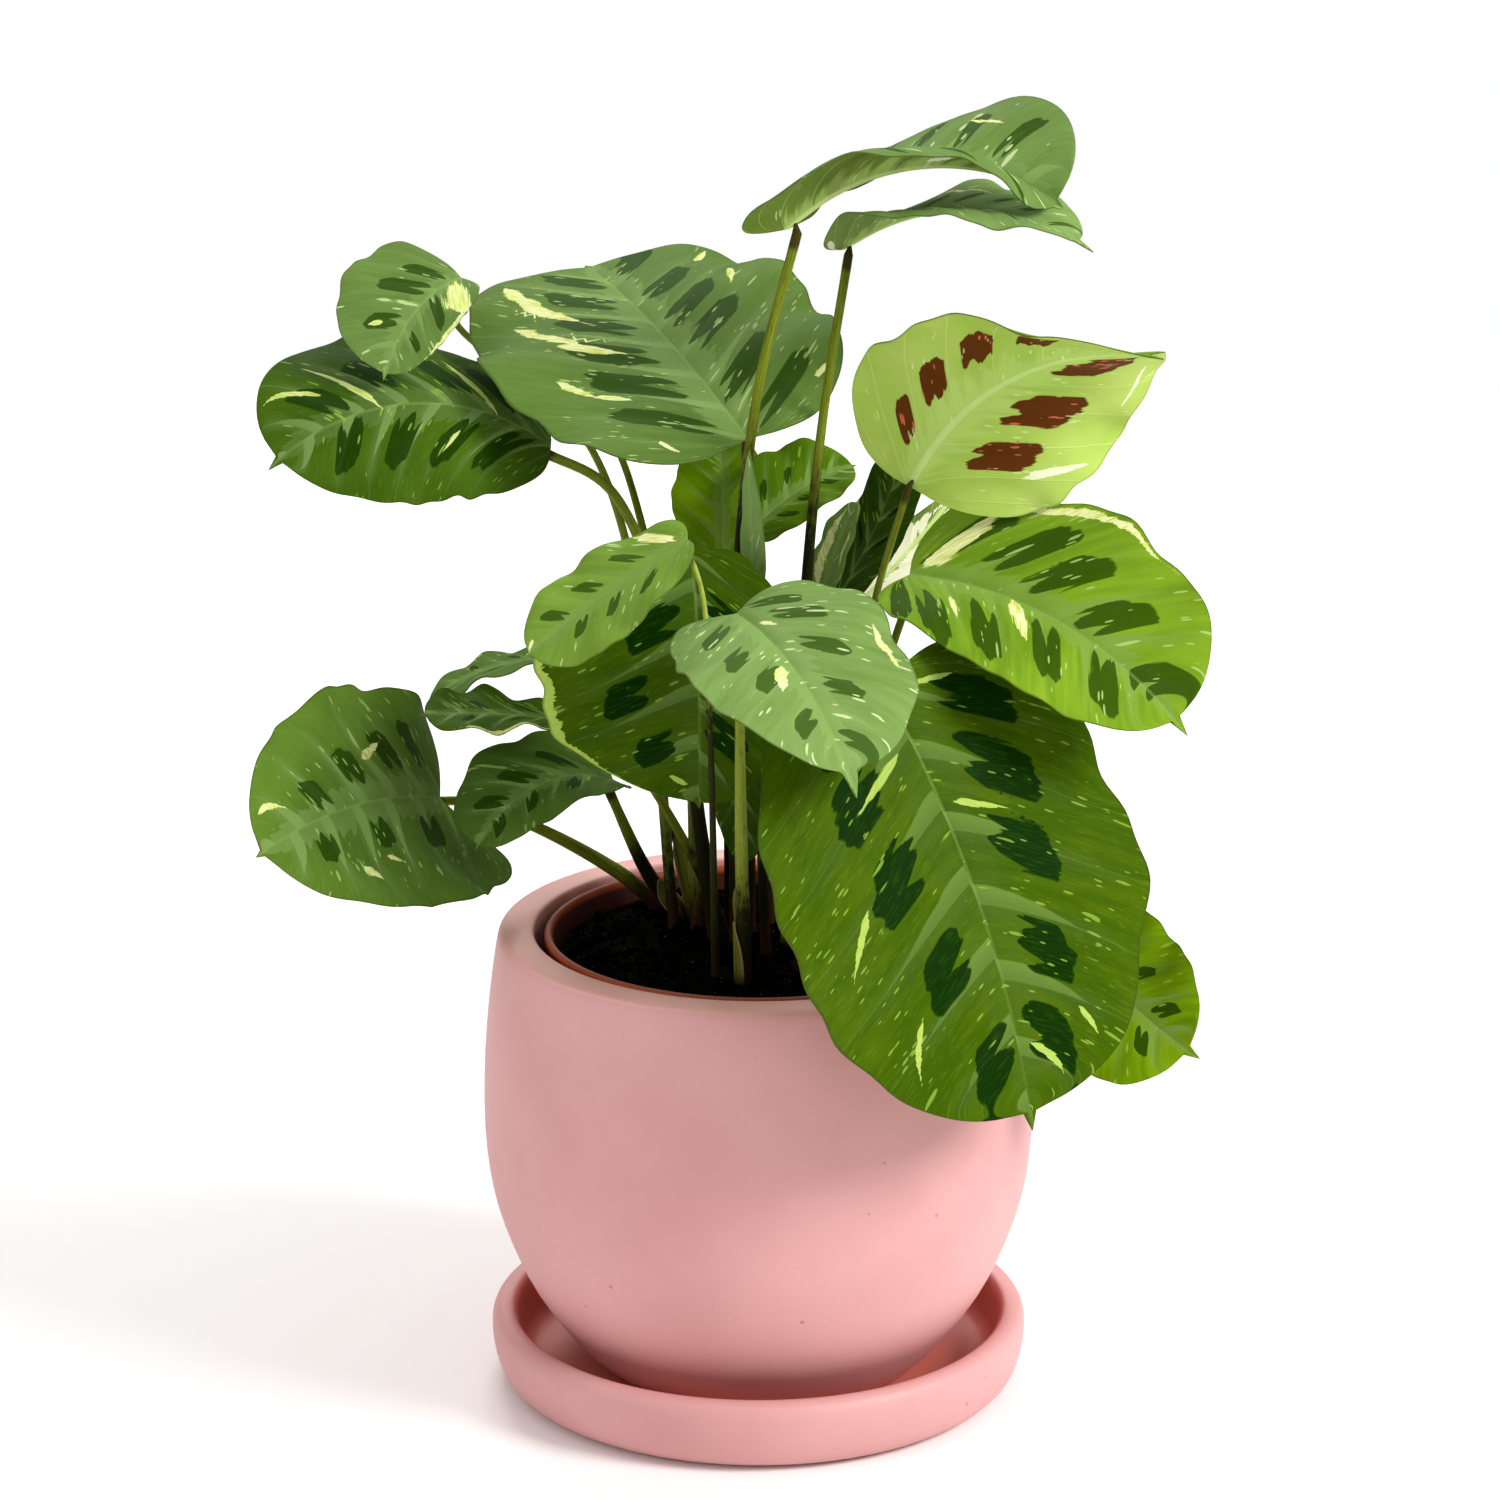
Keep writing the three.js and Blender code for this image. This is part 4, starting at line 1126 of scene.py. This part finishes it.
# %% One straight stalk
RINGS = 72
deselect_all()
bpy.ops.mesh.primitive_cylinder_add(vertices=18, radius=1, depth=1, location=(0, 0, 0.5))
bpy.ops.object.transform_apply(location=True)
straight_stalk = bpy.context.object
straight_stalk.name = "straight_stalk"
bpy.ops.object.mode_set(mode="EDIT")
bpy.ops.mesh.select_mode(type="EDGE")
bpy.ops.mesh.select_all(action="DESELECT")
bpy.ops.object.mode_set(mode="OBJECT")
for edge in straight_stalk.data.edges:
    ends = [straight_stalk.data.vertices[index].co.z for index in edge.vertices]
    edge.select = abs(ends[0] - ends[1]) > 0.5
bpy.ops.object.mode_set(mode="EDIT")
bpy.ops.mesh.subdivide(number_cuts=RINGS - 1)
bpy.ops.object.mode_set(mode="OBJECT")
print("straight stalk:", len(straight_stalk.data.vertices), "points")


# %% A smooth curve
def smooth_route(corners, per_span=60):
    """A centripetal Catmull-Rom curve through the corners, as evenly spaced dense points."""
    corners = np.array(corners, dtype=float)
    padded = np.vstack([2 * corners[0] - corners[1], corners, 2 * corners[-1] - corners[-2]])
    route = []
    for a, b, c, d in zip(padded, padded[1:], padded[2:], padded[3:]):
        gaps = [math.sqrt(np.linalg.norm(end - start)) for start, end in ((a, b), (b, c), (c, d))]
        first = ((b - a) / gaps[0] - (c - a) / (gaps[0] + gaps[1]) + (c - b) / gaps[1]) * gaps[1]
        second = ((c - b) / gaps[1] - (d - b) / (gaps[1] + gaps[2]) + (d - c) / gaps[2]) * gaps[1]
        for t in np.arange(per_span) / per_span:
            route.append(
                b + first * t + (-3 * b + 3 * c - 2 * first - second) * t * t
                + (2 * b - 2 * c + first + second) * t ** 3
            )
    return np.vstack([route, corners[-1]])


curve = smooth_route([(0, 0, 0), (0, 10, 0), (10, 10, 0)])
print("a curve through three corners:", len(curve), "points")


# %% Route of a stalk
SOIL_CROWN = 127.4  # height of the soil's middle, mm
FOOT_HEIGHT = 118.5  # height of the bottom of the stalks' holes
GAP = 0.3  # between a solid stalk and its blade, whose lines the finer ones follow
STALK_TOP = 0.98  # radius of a stalk's top as a share of its thickness
FOOT_SWELL, TOP_SHARE = 1.3, 0.74  # radius at the foot and near the blade, likewise


def stalk_route(leaf):
    """From the collar at the soil, through the leaf's bends, into the blade at its base."""
    place, along, _, up = (value[0] for value in midrib_frames(leaf, np.array([0.0])))
    collar = [*leaf["foot"], SOIL_CROWN + 0.8]
    drop = leaf["thick"]
    for _ in range(4):
        route = smooth_route([collar, *leaf["via"], place - up * drop + along])
        last = route[-1] - route[-2]
        tilt = min(1, abs(last @ up) / np.linalg.norm(last))
        drop = BLADE / 2 + GAP * 1.2 + leaf["thick"] * STALK_TOP * math.sqrt(1 - tilt ** 2)
        drop += leaf.get("ease", 0)
    inside = np.linspace(route[-1], place + along * 2.5, 8)[1:]
    return np.vstack([route, inside])


def stalk_frames(route, count):
    """Evenly spaced places on the route, with two directions square to it that never spin."""
    steps = np.linalg.norm(np.diff(route, axis=0), axis=1)
    travelled = np.concatenate([[0], np.cumsum(steps)])
    even = np.linspace(0, 1, count) * travelled[-1]
    spots = np.column_stack([np.interp(even, travelled, line) for line in route.T])
    axes = np.gradient(spots, axis=0)
    axes /= np.linalg.norm(axes, axis=1)[:, None]
    sides = np.empty_like(spots)
    side = np.array([1.0, 0, 0])
    for k, axis in enumerate(axes):
        side = side - axis * (side @ axis)
        side /= np.linalg.norm(side)
        sides[k] = side
    return spots, sides, np.cross(axes, sides), travelled[-1]


def stalk_radius(leaf, share):
    """Radius without the swelling at the blade, at a share of the way up from the soil."""
    return leaf["thick"] * (FOOT_SWELL + (TOP_SHARE - FOOT_SWELL) * np.minimum(share * 1.3, 1))


length = stalk_frames(stalk_route(LEAVES["left_broad"]), 2)[3]
print("left_broad's stalk is", round(length), "mm long above the soil")


# %% Stalk finish
def stalk_finish():
    stalk = Finish("stalk", roughness=0.5, specular=0.06)
    share, from_top, above_soil = stalk.field("stalk_map")
    round_it, along, seed = stalk.field("grain")
    brown, red, pale = stalk.field("tint")
    lines = stalk.noise(stalk.join(round_it * 2.2, along * 0.05, seed), 1.0)
    mottle = stalk.noise(stalk.join(round_it, along * 0.3, seed), 1.0, 3.0)
    colour = stalk.mix(lines.step(0.3, 0.7), srgb(84, 98, 12), srgb(124, 134, 34))
    # pale yellow-green, partly the stalk's own colour and partly painted highlight
    colour = colour.towards(srgb(164, 180, 74), pale)
    colour = colour.towards(srgb(78, 56, 20), mottle.step(0.5, 0.7) * 0.35)
    lower = (share - brown + mottle * 0.3).step(0.26, 0.08)
    colour = colour.towards(srgb(17, 11, 6), lower * 0.95)
    foot = (above_soil - mottle * 14.0).step(8.0, -4.0)
    colour = colour.towards(srgb(58, 32, 20), foot * red)
    joint = (from_top + mottle * 3.0).step(10.0, 7.5)
    colour = colour.towards(srgb(50, 34, 12), joint * 0.85)
    return stalk.done(colour, lines + mottle * 0.4, depth=0.0003, strength=0.5)


stalk_skin = stalk_finish()

# %% Stalks
BROWN_TO = {  # how far up the dark brown reaches, as a share of the stalk, 0.3 on the others
    "top_twisted": 0.66, "top_narrow": 0.64, "dark_hanging": 0.9, "crown_broad": 0.6,
    "centre_pale": 0.25, "young_folded": 0.66, "left_broad": 0.05, "far_left": 0.1,
    "upper_left": 0.1, "left_low": 0.5,
}
# how far a stalk goes over to pale yellow-green: partly its own colour, as on young_folded, and
# partly painted highlight, as on centre_pale
PALE_AND_HIGHLIGHT = {"young_folded": 1.0, "centre_pale": 0.4, "upper_left": 0.3, "left_broad": 0.2}
RED_FOOT = 0.8  # strength of the reddish brown at every foot
stalk_lines = {}
for number, (name, leaf) in enumerate(LEAVES.items()):
    stalk = copy_of(straight_stalk, "petiole_" + name)
    route = stalk_route(leaf)
    foot = np.array([*leaf["foot"], FOOT_HEIGHT])
    sunk = foot + np.linspace(0, 1, 8)[:-1, None] * (route[0] - foot)
    spots, sides, others, length = stalk_frames(np.vstack([sunk, route]), RINGS + 1)
    rod = places(stalk.data)
    ring = np.rint(rod[:, 2] * RINGS).astype(int)
    angle = np.arctan2(rod[:, 1], rod[:, 0])
    travelled = ring / RINGS * length
    buried = route[0][2] - FOOT_HEIGHT
    stalk_lines[name] = (spots, sides, others, length, buried)
    share = np.clip((travelled - buried) / (length - buried), 0, 1)
    from_top = length - travelled
    radius = stalk_radius(leaf, share)
    radius = radius + leaf["thick"] * 0.06 * np.clip(1 - from_top / 9, 0, 1) ** 0.5
    radius = radius * np.clip(0.06 + from_top / 3.5, 0, 1) ** 0.5
    offset = sides[ring] * np.cos(angle)[:, None] + others[ring] * np.sin(angle)[:, None]
    move_points(stalk.data, (spots[ring] + offset * radius[:, None]) * MM)
    store(stalk.data, "stalk_map", share, from_top, travelled - buried)
    store(stalk.data, "grain", np.abs(angle) * leaf["thick"], travelled, number * 31.0)
    store(stalk.data, "tint", BROWN_TO.get(name, 0.3), RED_FOOT, PALE_AND_HIGHLIGHT.get(name, 0))
    dress(stalk, "stalk_" + name, "stalk", stalk_skin)
    shade_smooth(stalk, 50)
print("stalks:", len(stalk_lines), "faces each:", len(stalk.data.polygons))
bpy.data.objects.remove(straight_stalk)

# %% [markdown]
# ### Sheaths
# The foot of an older stalk stands in a sheath, a thin pale flap that hugs the stalk and opens a
# little towards its point. Each is a grid wrapped round the lower part of the stalk's own line.


# %% Sheaths
def sheath_finish():
    flap = Finish("sheath", roughness=0.6, specular=0.08)
    across, height, seed = flap.field("sheath_map")
    lines = flap.noise(flap.join(across * 5.0, height * 1.2, seed), 1.0, 3.0)
    colour = flap.mix(lines.step(0.3, 0.7), srgb(88, 94, 20), srgb(132, 130, 46))
    colour = colour.towards(srgb(186, 168, 126), abs(across).step(0.7, 1.0) * 0.7)
    colour = colour.towards(srgb(60, 30, 16), (height + lines * 0.3).step(0.5, 0.15))
    return flap.done(colour, lines, depth=0.0003, strength=0.5)


SHEATHS = {  # the way each faces in degrees, its height and how far it opens, in millimetres
    "left_upper_edge": (-85, 25, 2.2), "inner_drooping": (-120, 22, 1.6),
    "left_low": (-50, 14, 0.9), "centre_pale": (-165, 19, 0.2), "top_narrow": (-100, 15, 0.6),
}
WRAP = 75  # degrees that a sheath reaches round its stalk each way
SHEATH = 0.35  # its thickness, mm
CLEAR = 0.5  # how far it stands off the stalk at its foot, mm
sheath_skin = sheath_finish()
for number, (name, (facing, tall, opening)) in enumerate(SHEATHS.items()):
    deselect_all()
    bpy.ops.mesh.primitive_grid_add(x_subdivisions=20, y_subdivisions=32, size=2)
    sheath = bpy.context.object
    sheath.name = "sheath_" + name
    across = places(sheath.data)[:, 0]
    height = (places(sheath.data)[:, 1] + 1) / 2
    spots, sides, others, length, buried = stalk_lines[name]
    row = (buried - 1 + (tall + 1) * height) / length * RINGS
    spot, side, other = (
        np.column_stack([np.interp(row, np.arange(RINGS + 1), column) for column in line.T])
        for line in (spots, sides, others)
    )
    turn = np.radians(facing + WRAP * across * (1 - 0.97 * height ** 3))
    share = np.clip((row / RINGS * length - buried) / (length - buried), 0, 1)
    radius = stalk_radius(LEAVES[name], share) + CLEAR + opening * height ** 2
    outward = side * np.cos(turn)[:, None] + other * np.sin(turn)[:, None]
    move_points(sheath.data, (spot + outward * radius[:, None]) * MM)
    store(sheath.data, "sheath_map", across, height, number * 11.0)
    sheath.data.materials.append(sheath_skin)
    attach(sheath, "root")
    apply_modifier(sheath, "SOLIDIFY", thickness=SHEATH * MM, offset=0)
    shade_smooth(sheath, 50)
print("sheaths:", len(SHEATHS), "faces each:", len(sheath.data.polygons))

# %% [markdown]
# ## Soil
# Dark, damp potting mix is a heap of crumbs of many sizes with a few pale bits of bark and roots.
# The solid underneath keeps its shape and gets a dark earthy finish, and one crumb, roughened from
# a small sphere, is copied over it by the hundred, a few faces each.

# %% Soil finish
def soil_finish():
    soil = Finish("potting_mix", roughness=0.95, specular=0.02)
    place = soil.place()
    clumps = soil.noise(place, 160.0, 6.0, 0.7)
    bits = soil.cells(place, 420.0)
    colour = soil.mix(clumps.step(0.3, 0.7), srgb(1, 1, 0), srgb(6, 4, 3))
    colour = colour.towards(srgb(120, 92, 66), bits.step(0.12, 0.05))
    return soil.done(colour, clumps + bits, depth=0.0012, strength=0.9)


soil_mix = soil_finish()
soil_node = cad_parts["soil"]
for slot in soil_node.material_slots:
    slot.material = soil_mix
print("soil slots:", len(soil_node.material_slots))

# %% Crumbs
CRUMBS = 900
STREWN = 55.0  # radius within which the crumbs' middles lie, mm
SOIL_RADIUS = 55.2  # as far out as a crumb may reach
SOIL_FLAT = 40  # beyond this radius the soil sinks by the slope below
SOIL_SLOPE = 0.9 / 15.5
FREE = 0.4  # between a crumb and a stalk, mm
rng = np.random.default_rng(7)
deselect_all()
bpy.ops.mesh.primitive_ico_sphere_add(subdivisions=2, radius=1)
crumb = bpy.context.object
crumb_points = places(crumb.data)
crumb_faces = [list(face.vertices) for face in crumb.data.polygons]
bpy.data.objects.remove(crumb)
stalk_feet = np.array([leaf["foot"] for leaf in LEAVES.values()])
stalk_radii = np.array([leaf["thick"] * FOOT_SWELL for leaf in LEAVES.values()])
heap_points, heap_faces = [], []
while len(heap_points) < CRUMBS:
    spread = STREWN * math.sqrt(rng.random())
    turn = 2 * math.pi * rng.random()
    spot = np.array([spread * math.cos(turn), spread * math.sin(turn)])
    size = 0.7 + 2.0 * rng.random() ** 3
    if spread + size > SOIL_RADIUS:
        continue
    if (np.linalg.norm(stalk_feet - spot, axis=1) < stalk_radii + size + FREE).any():
        continue
    dents = 1 + 0.28 * np.sin(crumb_points @ rng.normal(0, 2.6, (3, 3))).sum(axis=1) / 2
    squash = rng.uniform(0.6, 1.1, 3)
    shaped = crumb_points * dents[:, None] * squash * size
    ground = SOIL_CROWN - SOIL_SLOPE * max(0, spread - SOIL_FLAT)
    middle = np.array([spot[0], spot[1], ground + size * 0.25])
    first = sum(len(points) for points in heap_points)
    heap_points.append(shaped + middle)
    heap_faces += [[index + first for index in face] for face in crumb_faces]
heap = bpy.data.meshes.new("soil_crumbs")
heap.from_pydata((np.vstack(heap_points) * MM).tolist(), [], heap_faces)
soil_crumbs = bpy.data.objects.new("soil_crumbs", heap)
bpy.context.scene.collection.objects.link(soil_crumbs)
heap.materials.append(soil_mix)
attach(soil_crumbs, "root")
shade_smooth(soil_crumbs, 40)
print("crumbs:", len(heap_points), "faces:", len(heap_faces))

# %% [markdown]
# ## Finishes of the pots
# The saucer and the outer pot are clay with a matt pink glaze: faint clouds, a fine grain and a
# few pits, which noise at three scales gives with a handful of nodes. What changes from place to
# place is read from the height and the radius: the rim of the pot, paler from wear and from painted
# light on its top, the deeper, redder pink inside the saucer, which is painted shade, and the
# painted dark shade below the lip of the nursery pot, which is dirty orange plastic.


# %% Finishes of the pots
def clay_finish(name, low, high, painted_shade_inside=None, rim=None):
    """Matt pink glaze with faint clouds, fine grain and a few small pits. Painted shade inside is a
    deeper, redder pink painted as the shade inside a dish, as (radius in metres, colour), and rim
    is the edge, paler from wear and from painted light on its top, as (height, colour)."""
    clay = Finish(name, roughness=0.52, specular=0.45)
    place = clay.place()
    x, y, z = clay.split(place)
    clouds = clay.noise(place, 14.0, 3.0)
    grain = clay.noise(place, 900.0, 2.0)
    pits = clay.cells(place, 70.0)
    colour = clay.mix(clouds.step(0.3, 0.7), low, high)
    colour = colour.towards(srgb(196, 128, 124), grain.step(0.55, 0.75) * 0.12)
    colour = colour.towards(srgb(150, 92, 86), pits.step(0.05, 0.03) * 0.55)
    # painted shade: inside the dish the glaze turns a deeper, redder pink, as where shade falls in
    # it
    if painted_shade_inside:
        radius = clay.math("SQRT", x * x + y * y)
        within = radius.step(painted_shade_inside[0], painted_shade_inside[0] - 0.002) * z.step(0.004, 0.006)
        colour = colour.towards(painted_shade_inside[1], within)
    if rim:
        # partly wear and partly painted light: the top of the rim is made paler, as where light
        # falls on it
        worn_and_lit = (z + (clouds - 0.5) * 0.002).step(rim[0], rim[0] + 0.0008)
        colour = colour.towards(rim[1], worn_and_lit * 0.8)
    relief = grain + pits.step(0.03, 0.08) * 2.0
    return clay.done(colour, relief, depth=0.00015, strength=0.4)


def plastic_finish():
    """Orange plastic, dirty in places, with painted dark shade below the lip and a paler lip."""
    plastic = Finish("orange_plastic", roughness=0.5, specular=0.15)
    place = plastic.place()
    clouds = plastic.noise(place, 40.0, 4.0)
    dirt = plastic.noise(place, 300.0, 4.0, 0.7)
    colour = plastic.mix(clouds.step(0.3, 0.7), srgb(164, 62, 28), srgb(190, 84, 44))
    colour = colour.towards(srgb(74, 36, 22), dirt.step(0.6, 0.7) * 0.5)
    height = plastic.split(place)[2]  # in metres, with the lip at 0.132
    # painted shade: all of the pot below its lip is darkened as the shade inside the outer pot
    colour = colour.towards(srgb(70, 26, 12), height.step(0.1322, 0.1306))
    colour = colour.towards(srgb(146, 80, 58), height.step(0.1323, 0.1329))
    return plastic.done(colour, dirt, depth=0.0001, strength=0.3)


PINK = (srgb(206, 147, 145), srgb(217, 160, 158))
# painted shade: the deeper, redder pink inside the saucer
saucer_clay = clay_finish("saucer_clay", *PINK, painted_shade_inside=(0.0715, srgb(204, 114, 100)))
pot_clay = clay_finish("pot_clay", *PINK, rim=(0.1326, srgb(242, 178, 168)))
dress(saucer, "saucer", "pot_pink", saucer_clay)
dress(outer_pot, "outer_pot", "pot_pink", pot_clay)
dress(nursery_pot, "nursery_pot", "nursery_orange", plastic_finish())
